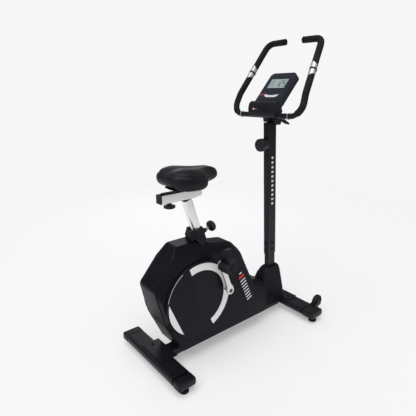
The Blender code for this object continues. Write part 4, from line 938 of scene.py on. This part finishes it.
# ---------------------------------------------------------------------------
# Saddle carrier. A chromed channel is welded across the post; a black block
# slides in it and a fluted knob under the tail clamps it.
# ---------------------------------------------------------------------------
PAN_NOSE = -0.2100
PAN_NOSE_SHARE, PAN_WIDTH_SHARE = 0.55, 0.76
refine("saddle_rail", rail_chrome, "seat_post_set", "chromed_steel", 0.0012)
refine("rail_end_cap", cap_plastic, "seat_post_set", "black_plastic", 0.0008)
refine("saddle_carriage", frame_paint, "saddle", "frame_paint", 0.0010)
pan = weld_copy("saddle_pan", "saddle_pan_plate")
for point in pan.data.vertices:
    if point.co.x > PAN_NOSE:
        point.co.x = PAN_NOSE + (point.co.x - PAN_NOSE) * PAN_NOSE_SHARE
    point.co.y *= PAN_WIDTH_SHARE
round_edges(pan, 0.0010)
fit(pan, cap_plastic, "saddle", "black_plastic", "saddle_pan")

low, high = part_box("saddle_knob")
knob_centre = Vector(((low[0] + high[0]) / 2.0, 0.0, low[2]))
knob = turn_up("saddle_knob_grip", [
    (0.0000, 0.0090), (0.0000, 0.0190), (0.0010, 0.0224), (0.0036, 0.0244), (0.0060, 0.0250),
    (0.0092, 0.0250), (0.0112, 0.0244), (0.0124, 0.0225), (0.0134, 0.0120), (0.0160, 0.0088),
    (0.0252, 0.0085), (0.0254, 0.0040), (0.0358, 0.0040),
], sides=96)
scallop(knob, 12, 0.0020, 0.0008, 0.0128, 0.0180)
stand(knob, knob_centre, (0.0, 0.0, 1.0))
shade(knob, 50.0)
fit(knob, knob_plastic, "saddle_knob", "black_plastic", "saddle_knob")

# ---------------------------------------------------------------------------
# Saddle. A broad foam pad under black vinyl, pulled down over the pan, with a
# shallow channel down the middle and a drawn-in seam round its flank.
# ---------------------------------------------------------------------------
VINYL_BLACK = (0.0048, 0.0050, 0.0064)
PAD_VOXEL = 0.0048
PAD_PRESSURE = 4.0
PAD_MOST_MOVE = 0.0045
PAD_FRAMES = 20
PAD_TUCK = 0.972
SEAM_DROP = 0.0026
SEAM_HALF = 0.0042
SEAM_FADE = 0.020
SKIRT_DROP = 0.0150
SIDE_START, SIDE_REACH = 0.030, 0.060
RAIL_CLEAR = 0.0260
WAIST_PLACE, WAIST_REACH, WAIST_DROP = -0.2350, 0.0500, 0.0030
TOP_DROP = 0.0045
FLANK_PLACE, FLANK_REACH, FLANK_OUT = -0.2420, 0.0260, 0.0130
CHANNEL_DEEP, CHANNEL_HALF = 0.0100, 0.0260


def make_vinyl():
    """Coated cloth: pebbled grain over slow swells, with a soft sheen and a thin gloss."""
    skin = make_finish("saddle_vinyl", VINYL_BLACK, 0.50, specular=0.22, coat=0.03,
                       coat_roughness=0.30, bump=0.20, depth=0.0003, amount=0.06, patch=9.0)
    tree = skin.node_tree
    shader = tree.nodes["Principled BSDF"]
    shader.inputs["Sheen Weight"].default_value = 0.02
    shader.inputs["Sheen Roughness"].default_value = 0.45
    place = next(node for node in tree.nodes if node.type == "TEX_COORD")
    pebble = tree.nodes.new("ShaderNodeTexVoronoi")
    pebble.feature = "SMOOTH_F1"
    pebble.inputs["Scale"].default_value = 620.0
    tree.links.new(place.outputs["Object"], pebble.inputs["Vector"])
    blend = tree.nodes.new("ShaderNodeMix")
    blend.inputs["Factor"].default_value = 0.35
    tree.links.new(pebble.outputs["Distance"], blend.inputs["A"])
    tree.links.new(tree.nodes["grain"].outputs["Height"], blend.inputs["B"])
    tree.links.new(blend.outputs["Result"], tree.nodes["relief"].inputs["Height"])
    return skin


def make_pad():
    """Inflate the pad's cover a little over its foam, then draw in the seam."""
    pad = weld_copy("saddle_pad", "saddle_cushion")
    low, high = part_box("saddle_pad")
    middle = (Vector(low) + Vector(high)) / 2.0
    for point in pad.data.vertices:
        point.co = middle + (point.co - middle) * PAD_TUCK
    shape_pad(pad, low, high)
    take_up(pad)
    even = pad.modifiers.new("even", "REMESH")
    even.mode = "VOXEL"
    even.voxel_size = PAD_VOXEL
    bpy.ops.object.modifier_apply(modifier="even")
    rest = [point.co.copy() for point in pad.data.vertices]
    blow_up(pad)
    for point, start in zip(pad.data.vertices, rest):
        move = point.co - start
        if move.length > PAD_MOST_MOVE:
            point.co = start + move.normalized() * PAD_MOST_MOVE
        if abs(point.co.y) < RAIL_CLEAR:
            point.co.z = max(point.co.z, low[2] + 0.0002)
    relax = pad.modifiers.new("relax", "SMOOTH")
    relax.factor = 0.5
    relax.iterations = 6
    bpy.ops.object.modifier_apply(modifier="relax")
    soft = pad.modifiers.new("soft", "SUBSURF")
    soft.levels = 1
    soft.render_levels = 1
    bpy.ops.object.modifier_apply(modifier="soft")
    draw_in_seam(pad, low, high)
    take_up(pad)
    bpy.ops.object.shade_smooth()
    return pad


def shape_pad(pad, low, high):
    """Drop the pad's skirts at the sides, dip it at the waist and fill out its front flanks."""
    take_up(pad)
    bpy.ops.object.mode_set(mode="EDIT")
    bpy.ops.mesh.select_all(action="SELECT")
    bpy.ops.mesh.subdivide(number_cuts=1)
    bpy.ops.object.mode_set(mode="OBJECT")
    tall = high[2] - low[2]
    for point in pad.data.vertices:
        x, y, z = point.co
        up = (z - low[2]) / tall
        out = min(max((abs(y) - SIDE_START) / SIDE_REACH, 0.0), 1.0)
        skirt = out * out * (3.0 - 2.0 * out) * max(0.0, 1.0 - up * 1.6)
        waist = math.exp(-((x - WAIST_PLACE) / WAIST_REACH) ** 2)
        top = min(max((up - 0.45) / 0.4, 0.0), 1.0)
        flank = math.exp(-((x - FLANK_PLACE) / FLANK_REACH) ** 2) * out * (1.0 - 0.5 * top)
        point.co.y += math.copysign(flank * FLANK_OUT, y)
        point.co.x += flank * FLANK_OUT * 0.7
        point.co.z += top * (-waist * WAIST_DROP - TOP_DROP) - skirt * SKIRT_DROP


def blow_up(pad):
    """Run the cover as cloth under pressure, with no gravity."""
    scene = bpy.context.scene
    cover = pad.modifiers.new("cover", "CLOTH")
    cover.settings.use_pressure = True
    cover.settings.uniform_pressure_force = PAD_PRESSURE
    cover.settings.quality = 6
    cover.settings.tension_stiffness = 20.0
    cover.settings.compression_stiffness = 20.0
    cover.settings.bending_stiffness = 6.0
    cover.settings.effector_weights.gravity = 0.0
    cover.collision_settings.use_collision = False
    cover.point_cache.frame_start = 1
    cover.point_cache.frame_end = PAD_FRAMES
    for moment in range(1, PAD_FRAMES + 1):
        scene.frame_set(moment)
    take_up(pad)
    bpy.ops.object.modifier_apply(modifier="cover")
    scene.frame_set(1)


def seam_height(x, low, high):
    """The seam's height: high round the tail and falling towards the nose."""
    back = (x - low[0]) / (high[0] - low[0])
    return low[2] + (high[2] - low[2]) * (0.74 - 0.42 * min(back / 0.9, 1.0) ** 1.3)


def draw_in_seam(pad, low, high):
    """Pull the cover in along the flank seam and along the channel down the top."""
    moves = []
    for point in pad.data.vertices:
        off = (point.co.z - seam_height(point.co.x, low, high)) / SEAM_HALF
        fade = min(max((abs(point.co.y) - SIDE_START) / SEAM_FADE, 0.0), 1.0)
        groove = SEAM_DROP * math.exp(-off * off) * fade
        across = point.co.y / CHANNEL_HALF
        along = (point.co.x - low[0]) / (high[0] - low[0])
        crown = max(point.normal.z, 0.0)
        channel = CHANNEL_DEEP * math.exp(-across * across) * crown * max(0.0, 1.0 - along * 1.05)
        moves.append(point.normal * -groove + Vector((0.0, 0.0, -channel)))
    for point, move in zip(pad.data.vertices, moves):
        point.co += move


saddle_vinyl = make_vinyl()
cushion = make_pad()
fit(cushion, saddle_vinyl, "saddle", "saddle_vinyl", "saddle_pad")

# ---------------------------------------------------------------------------
# Mast. A tall rectangular tube sleeves over a stub behind a moulded boot; eight
# cap screws hold it, and the resistance knob sticks out of its rear face.
# ---------------------------------------------------------------------------
MAST_FOOT = Vector((0.29675, 0.0, 0.0620))
MAST_LEAN = math.radians(3.43)
MAST_UP = Vector((-math.sin(MAST_LEAN), 0.0, math.cos(MAST_LEAN)))
MAST_FORE = Vector((math.cos(MAST_LEAN), 0.0, math.sin(MAST_LEAN)))
MAST_HALF_DEEP = 0.0315
MAST_HALF_WIDE = 0.0155
MAST_SCREWS = (0.3060, 0.3440)
STRIPE_LOW, STRIPE_PITCH, STRIPE_COUNT = 0.562, 0.0235, 11

mast_paint = make_finish("mast_paint", (0.0070, 0.0074, 0.0094), 0.33, grain=1400.0, swell=0.5,
                         bump=0.08, amount=0.035)


def on_mast(up, fore=0.0, across=0.0):
    """A place on the mast: up along it, forward of its middle, and across to the left."""
    return MAST_FOOT + MAST_UP * up + MAST_FORE * fore + Vector((0.0, across, 0.0))


refine("mast", mast_paint, "frame", "frame_paint", 0.0012)
refine("mast_boot", casing_plastic, "frame", "casing_plastic", 0.0020, 24.0, 3)
for step, up in enumerate(MAST_SCREWS, 1):
    drive_bolt("mast_screw_rear_%d" % step, on_mast(up, -MAST_HALF_DEEP, 0.0), -MAST_FORE,
               "frame", 0.0070, 0.0056)
    drive_bolt("mast_screw_fore_%d" % step, on_mast(up, MAST_HALF_DEEP, 0.0), MAST_FORE,
               "frame", 0.0070, 0.0056)
    for side, sign in SIDES:
        drive_bolt("mast_screw_%s_%d" % (side, step),
                   on_mast(up, 0.0060, sign * MAST_HALF_WIDE), (0.0, sign, 0.0), "frame",
                   0.0074, 0.0046)
for side, sign in SIDES:
    for step in range(STRIPE_COUNT):
        middle = on_mast(STRIPE_LOW + STRIPE_PITCH * step, 0.002)
        stripe = lay_plate("mast_dash_%s_%d" % (side, step + 1), 0.0140, 0.0110, PRINT_THICK, 0.0012,
                           middle, MAST_LEAN, sign, MAST_HALF_WIDE - 0.0001)
        fit(stripe, silver_print, "frame", "crank_silver")

TENSION_PROFILE = [
    (0.0010, 0.0270), (0.0130, 0.0280), (0.0150, 0.0286), (0.0180, 0.0304), (0.0210, 0.0310),
    (0.0390, 0.0310), (0.0420, 0.0302), (0.0440, 0.0278), (0.0446, 0.0240), (0.0440, 0.0226),
    (0.0432, 0.0216), (0.0432, 0.0196), (0.0442, 0.0186), (0.0450, 0.0174), (0.0450, 0.0120),
    (0.0442, 0.0110), (0.0436, 0.0100), (0.0436, 0.0060), (0.0446, 0.0050), (0.0452, 0.0036),
]
low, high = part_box("tension_knob")
hub = Vector(((low[0] + high[0]) / 2.0, 0.0, (low[2] + high[2]) / 2.0))
along = (hub - on_mast(0.0)).dot(MAST_UP)
shank = turn_up("tension_shank", [
    (-0.0118, 0.0040), (-0.0118, 0.0066), (0.0030, 0.0066), (0.0030, 0.0040),
], on_mast(along, -MAST_HALF_DEEP), -MAST_FORE, 24)
shade(shank, 32.0)
fit(shank, bare_steel, "tension_knob", "bare_steel")
dial = turn_up("tension_dial", TENSION_PROFILE, sides=120)
scallop(dial, 20, 0.0012, 0.0160, 0.0400, 0.0280)
stand(dial, on_mast(along, -MAST_HALF_DEEP), -MAST_FORE)
shade(dial, 50.0)
fit(dial, knob_plastic, "tension_knob", "black_plastic", "tension_knob")

# ---------------------------------------------------------------------------
# Head. A steel bracket on the mast clamps the cross bar; a moulded hood hides
# it, and a lobed hand knob tightens it from the right, beside a fixed fin.
# ---------------------------------------------------------------------------
CLAMP_PLACE = Vector((0.24775, 0.0, 1.0420))
CLAMP_FACE = 0.0190
HOOD_HALF = 0.0820
HEAD_NECK, HEAD_REAR = 1.0600, 0.2060
HOOD_OUTLINE = [
    (0.1790, 1.0540), (0.1715, 1.0680), (0.1695, 1.0900), (0.1720, 1.1080), (0.1800, 1.1210),
    (0.1930, 1.1262), (0.2040, 1.1215), (0.2270, 1.0985), (0.2260, 1.0740), (0.2120, 1.0540),
]
FIN_OUTLINE = [
    (0.2620, 1.0520), (0.2900, 1.0405), (0.3220, 1.0230), (0.3256, 1.0170), (0.3180, 1.0145),
    (0.2900, 1.0215), (0.2620, 1.0340),
]

head = weld_copy("mast_head", "mast_head_plate")
for point in head.data.vertices:
    if point.co.z < HEAD_NECK:
        point.co.x = max(point.co.x, HEAD_REAR)
        point.co.y = max(min(point.co.y, MAST_HALF_WIDE), -MAST_HALF_WIDE)
round_edges(head, 0.0010)
fit(head, mast_paint, "frame", "frame_paint", "mast_head")
hood_plastic = make_finish("hood_plastic", (0.0088, 0.0094, 0.0125), 0.44, specular=0.22,
                           grain=2000.0, bump=0.12, amount=0.05)
hood = cut_outline("head_hood", HOOD_OUTLINE, -HOOD_HALF, HOOD_HALF)
round_edges(hood, 0.0050, 4, 35.0)
fit(hood, hood_plastic, "frame", "casing_plastic", "head_cover")
fin = cut_outline("head_fin", FIN_OUTLINE, -0.0500, -0.0430)
round_edges(fin, 0.0016, 3)
fit(fin, knob_plastic, "frame", "black_plastic")
boss = turn_up("head_boss", [
    (0.0150, 0.0060), (0.0340, 0.0060), (0.0350, 0.0092), (0.0440, 0.0102), (0.0470, 0.0096),
    (0.0486, 0.0070), (0.0480, 0.0050), (0.0480, 0.0030),
], (0.2600, 0.0, 1.0790), (0.0, -1.0, 0.0), 40)
shade(boss, 32.0)
fit(boss, knob_plastic, "frame", "black_plastic")
for label, across, ink in (("red", 0.030, red_print), ("silver", 0.044, silver_print)):
    dash = bar_piece("hood_dash_" + label, (0.0006, 0.0100, 0.0070), (0.16935, across, 1.0900),
                     0.0, 0.0002)
    fit(dash, ink, "frame", "button_rubber" if label == "red" else "crank_silver")
clamp = turn_up("clamp_grip", [
    (0.0080, 0.0040), (CLAMP_FACE, 0.0042), (CLAMP_FACE, 0.0082), (0.0262, 0.0088),
    (0.0272, 0.0120), (0.0280, 0.0240), (0.0300, 0.0272), (0.0330, 0.0286), (0.0430, 0.0286),
    (0.0460, 0.0272), (0.0480, 0.0230), (0.0486, 0.0150), (0.0480, 0.0138), (0.0480, 0.0070),
    (0.0488, 0.0055),
], sides=96)
scallop(clamp, 6, 0.0046, 0.0275, 0.0486, 0.0150)
stand(clamp, CLAMP_PLACE, (0.0, -1.0, 0.0))
shade(clamp, 50.0)
fit(clamp, knob_plastic, "clamp_knob", "black_plastic", "clamp_knob")

# ---------------------------------------------------------------------------
# Handlebar. One painted tube bent into an open loop, under long foam grips,
# with a split metal pulse sensor let into each grip.
# ---------------------------------------------------------------------------
GRIP_OUTER = 0.0153
BAR_AXIS = Vector((0.19675, 0.0, 1.0620))
SENSOR_HALF = 0.0350
SENSOR_SPLIT = 0.0036
BEND_LOW = {side: Vector((0.23375, sign * 0.2000, 1.1580)) for side, sign in SIDES}
BEND_HIGH = {side: Vector((0.38475, sign * 0.1580, 1.3945)) for side, sign in SIDES}
SENSOR_SHARE = 0.42

grip_foam = make_finish("grip_foam", (0.0048, 0.0048, 0.0060), 0.66, specular=0.18,
                        grain=1300.0, swell=0.15, bump=0.55, depth=0.0005, amount=0.08,
                        patch=14.0)
sensor_steel = make_finish("sensor_steel", (0.58, 0.57, 0.55), 0.34, metallic=0.6, grain=400.0,
                           swell=0.6, bump=0.06, dust=(0.5, 0.5, 0.49), amount=0.12)


def trim_shell(shell, centre, run, tip):
    """Cut a sleeve down to the plate on the rider's side, with a pointed outer end."""
    rear = Vector((-1.0, 0.0, 0.0))
    rear = (rear - run * rear.dot(run)).normalized()
    beside = run.cross(rear)
    far = math.copysign(1.0, tip)
    cuts = [(centre + rear * 0.0008, -rear)]
    for lean in (1.0, -1.0):
        corner = centre + run * (tip + far * 0.0020) + rear * GRIP_OUTER
        cuts.append((corner, (run * far + beside * lean * 0.85).normalized()))
    take_up(shell)
    bpy.ops.object.mode_set(mode="EDIT")
    for place, normal in cuts:
        bpy.ops.mesh.select_all(action="SELECT")
        bpy.ops.mesh.bisect(plane_co=place, plane_no=normal, use_fill=True, clear_outer=True)
    bpy.ops.mesh.select_all(action="SELECT")
    bpy.ops.mesh.normals_make_consistent(inside=False)
    bpy.ops.object.mode_set(mode="OBJECT")


refine("handlebar", mast_paint, "handlebar_set", "frame_paint")
for side, sign in SIDES:
    ring = turn_up("grip_ring_" + side, [
        (0.1440, 0.0122), (0.1440, 0.0138), (0.1446, 0.0145), (0.1462, 0.0146), (0.1468, 0.0138),
        (0.1468, 0.0122),
    ], BAR_AXIS, (0.0, sign, 0.0), 36)
    shade(ring, 32.0)
    fit(ring, sensor_steel, "handlebar_set", "chromed_steel")
for side in ("left", "right"):
    refine("grip_" + side, grip_foam, "handlebar_set", "grip_foam")
    run = (BEND_HIGH[side] - BEND_LOW[side]).normalized()
    centre = BEND_LOW[side].lerp(BEND_HIGH[side], SENSOR_SHARE)
    shells = []
    for start, end in ((-SENSOR_HALF, -SENSOR_SPLIT), (SENSOR_SPLIT, SENSOR_HALF)):
        shell = turn_up("sensor_shell", [
            (start, GRIP_OUTER - 0.0020), (start, GRIP_OUTER + 0.0004),
            (start + 0.0008, GRIP_OUTER + 0.0013), (start + 0.0024, GRIP_OUTER + 0.0018),
            (end - 0.0024, GRIP_OUTER + 0.0018), (end - 0.0008, GRIP_OUTER + 0.0013),
            (end, GRIP_OUTER + 0.0004), (end, GRIP_OUTER - 0.0020),
        ], centre, run, 64)
        trim_shell(shell, centre, run, start if start < 0.0 else end)
        shells.append(shell)
    sensor = join_pieces(shells, "pulse_plates_" + side)
    shade(sensor, 30.0)
    fit(sensor, sensor_steel, "handlebar_set", "chromed_steel", "pulse_sensor_" + side)
    collar = turn_up("pulse_collar_" + side, [
        (-SENSOR_SPLIT, GRIP_OUTER - 0.0020), (-SENSOR_SPLIT, GRIP_OUTER + 0.0016),
        (-0.0024, GRIP_OUTER + 0.0022), (0.0024, GRIP_OUTER + 0.0022),
        (SENSOR_SPLIT, GRIP_OUTER + 0.0016), (SENSOR_SPLIT, GRIP_OUTER - 0.0020),
    ], centre, run, 48)
    shade(collar, 30.0)
    fit(collar, cap_plastic, "handlebar_set", "black_plastic")

# ---------------------------------------------------------------------------
# Console. A moulded housing with a dark face sheet, a grey-green display with
# plain segment digits, a pale label and three soft keys.
# ---------------------------------------------------------------------------
CONSOLE_LOW = Vector((0.20775, 0.0, 1.1200))
CONSOLE_TILT = math.atan2(0.1195, 0.1325)
CONSOLE_UP = Vector((math.sin(CONSOLE_TILT), 0.0, math.cos(CONSOLE_TILT)))
CONSOLE_OUT = Vector((-math.cos(CONSOLE_TILT), 0.0, math.sin(CONSOLE_TILT)))
KEY_PLACES = ((0.063, 0.043), (0.047, 0.043), (-0.053, 0.043))
DIGIT_BARS = {"1": "bc", "2": "abged", "5": "afgcd"}
DISPLAY_UP = 0.113
LABEL_STEPS = 16
LABEL_WIDE, LABEL_TALL, LABEL_SMILE = 0.080, 0.0150, 0.0085

console_plastic = make_finish("console_plastic", (0.0110, 0.0125, 0.0200), 0.36, specular=0.38,
                              grain=1800.0, swell=0.3, bump=0.15, amount=0.04)
face_sheet = make_finish("face_sheet", (0.0130, 0.0150, 0.0260), 0.28, specular=0.40,
                         grain=900.0, bump=0.05, amount=0.04)
display_glass = make_finish("display_glass", (0.36, 0.44, 0.44), 0.16, specular=0.45,
                            grain=300.0, bump=0.02, dust=(0.36, 0.40, 0.37), amount=0.25,
                            patch=16.0)
digit_ink = make_finish("digit_ink", (0.035, 0.040, 0.042), 0.30, grain=300.0, bump=0.02)
label_print = make_finish("label_print", (0.74, 0.77, 0.80), 0.34, grain=300.0, bump=0.03)
key_red = make_finish("key_red", (0.26, 0.085, 0.090), 0.55, grain=900.0, bump=0.15)
key_blue = make_finish("key_blue", (0.055, 0.075, 0.115), 0.55, grain=900.0, bump=0.15)


def set_on_console(piece, across, up, out):
    """Set a flat part made on the bench on the console's face: X across, Y up, Z out."""
    take_up(piece)
    place = CONSOLE_LOW + Vector((0.0, across, 0.0)) + CONSOLE_UP * up + CONSOLE_OUT * out
    right = Vector((0.0, -1.0, 0.0))
    piece.matrix_world = Matrix((
        (right.x, CONSOLE_UP.x, CONSOLE_OUT.x, place.x),
        (right.y, CONSOLE_UP.y, CONSOLE_OUT.y, place.y),
        (right.z, CONSOLE_UP.z, CONSOLE_OUT.z, place.z),
        (0.0, 0.0, 0.0, 1.0),
    ))
    bpy.ops.object.transform_apply(location=True, rotation=True, scale=True)


def bench_plate(name, wide, tall, thick, corner, shift=(0.0, 0.0)):
    """A flat plate with rounded corners, made flat on the bench."""
    deselect()
    bpy.ops.mesh.primitive_plane_add(size=1.0)
    plate = bpy.context.object
    plate.name = name
    plate.scale = (wide, tall, 1.0)
    bpy.ops.object.transform_apply(location=False, rotation=False, scale=True)
    plate.location = (shift[0], shift[1], 0.0)
    bpy.ops.object.transform_apply(location=True, rotation=False, scale=False)
    bpy.ops.object.mode_set(mode="EDIT")
    bpy.ops.mesh.select_all(action="SELECT")
    if corner > 0.0:
        bpy.ops.mesh.bevel(offset=corner, segments=5, affect="VERTICES")
        bpy.ops.mesh.select_all(action="SELECT")
    bpy.ops.mesh.extrude_region_move(TRANSFORM_OT_translate={"value": (0.0, 0.0, thick)})
    bpy.ops.mesh.select_all(action="SELECT")
    bpy.ops.mesh.normals_make_consistent(inside=False)
    bpy.ops.object.mode_set(mode="OBJECT")
    return plate


def frame_plate(name, wide, tall, rim, thick, corner):
    """A flat open frame: a rounded plate with its middle cut out."""
    plate = bench_plate(name, wide, tall, thick, corner)
    hole = bench_plate(name + "_hole", wide - 2.0 * rim, tall - 2.0 * rim, thick * 4.0,
                       max(corner - rim, 0.0008))
    hole.location.z = -thick
    take_up(plate)
    way = plate.modifiers.new("way", "BOOLEAN")
    way.operation = "DIFFERENCE"
    way.solver = "EXACT"
    way.object = hole
    bpy.ops.object.modifier_apply(modifier="way")
    bpy.data.objects.remove(hole, do_unlink=True)
    return plate


def show_digit(digit, left, low, wide, tall, bar):
    """One digit of plain bars, standing on the bench with its low left corner given."""
    half = tall / 2.0
    bars = {
        "a": (wide / 2, tall, wide - bar, bar), "d": (wide / 2, 0.0, wide - bar, bar),
        "g": (wide / 2, half, wide - bar, bar), "b": (wide, half * 1.5, bar, half - bar),
        "c": (wide, half * 0.5, bar, half - bar), "e": (0.0, half * 0.5, bar, half - bar),
        "f": (0.0, half * 1.5, bar, half - bar),
    }
    pieces = []
    for mark in DIGIT_BARS[digit]:
        x, y, across, up = bars[mark]
        pieces.append(bench_plate("bar", across, up, 0.0003, 0.0, (left + x, low + y)))
    return pieces


def curve_label(name):
    """A thin pale label that curves up at both ends, made flat on the bench."""
    deselect()
    bpy.ops.mesh.primitive_grid_add(x_subdivisions=LABEL_STEPS, y_subdivisions=2, size=1.0)
    label = bpy.context.object
    label.name = name
    for point in label.data.vertices:
        share = point.co.x * 2.0
        thick = LABEL_TALL * (1.0 - 0.35 * abs(share) ** 2)
        point.co.y = point.co.y * thick + LABEL_SMILE * share * share
        point.co.x = point.co.x * LABEL_WIDE
    bpy.ops.object.mode_set(mode="EDIT")
    bpy.ops.mesh.select_all(action="SELECT")
    bpy.ops.mesh.extrude_region_move(TRANSFORM_OT_translate={"value": (0.0, 0.0, 0.0004)})
    bpy.ops.mesh.select_all(action="SELECT")
    bpy.ops.mesh.normals_make_consistent(inside=False)
    bpy.ops.object.mode_set(mode="OBJECT")
    return label


refine("console_housing", console_plastic, "frame", "console_plastic", 0.0016, 30.0, 3)
sheet = frame_plate("console_face", 0.142, 0.150, 0.0150, 0.0005, 0.0120)
set_on_console(sheet, 0.0, 0.0905, 0.0001)
fit(sheet, face_sheet, "frame", "console_plastic")
bezel = frame_plate("display_bezel", 0.1120, 0.0640, 0.0042, 0.0012, 0.0035)
round_edges(bezel, 0.0004)
set_on_console(bezel, 0.0, DISPLAY_UP, 0.0000)
fit(bezel, face_sheet, "frame", "console_plastic")
refine("display_window", display_glass, "frame", "display_window", 0.0002)
digits = []
for step, digit in enumerate("125"):
    digits += show_digit(digit, -0.0060 + 0.0190 * step, -0.0170, 0.0125, 0.0340, 0.0034)
readout = join_pieces(digits, "display_digits")
set_on_console(readout, 0.0, DISPLAY_UP, -0.0006)
fit(readout, digit_ink, "frame", "display_window")
marks = []
for step in range(4):
    marks.append(bench_plate("mark", 0.0240, 0.0018, 0.0003, 0.0,
                             (-0.0330, -0.0160 + 0.0105 * step)))
scale = join_pieces(marks, "display_scale")
set_on_console(scale, 0.0, DISPLAY_UP, -0.0006)
fit(scale, digit_ink, "frame", "display_window")

label = curve_label("key_label")
set_on_console(label, -0.002, 0.0345, 0.0001)
fit(label, label_print, "frame", "console_plastic")
for index, (across, up) in enumerate(KEY_PLACES, 1):
    ink = key_blue if index == 3 else key_red
    refine("button_%d" % index, ink, "button_%d" % index, "button_rubber", 0.0006)
    rim = frame_plate("key_rim_%d" % index, 0.0160, 0.0180, 0.0014, 0.0005, 0.0020)
    set_on_console(rim, across, up, 0.0001)
    fit(rim, ink, "frame", "button_rubber")

# ---------------------------------------------------------------------------
# Finished bike: bring the scene's objects up to date.
# ---------------------------------------------------------------------------
bpy.context.view_layer.update()
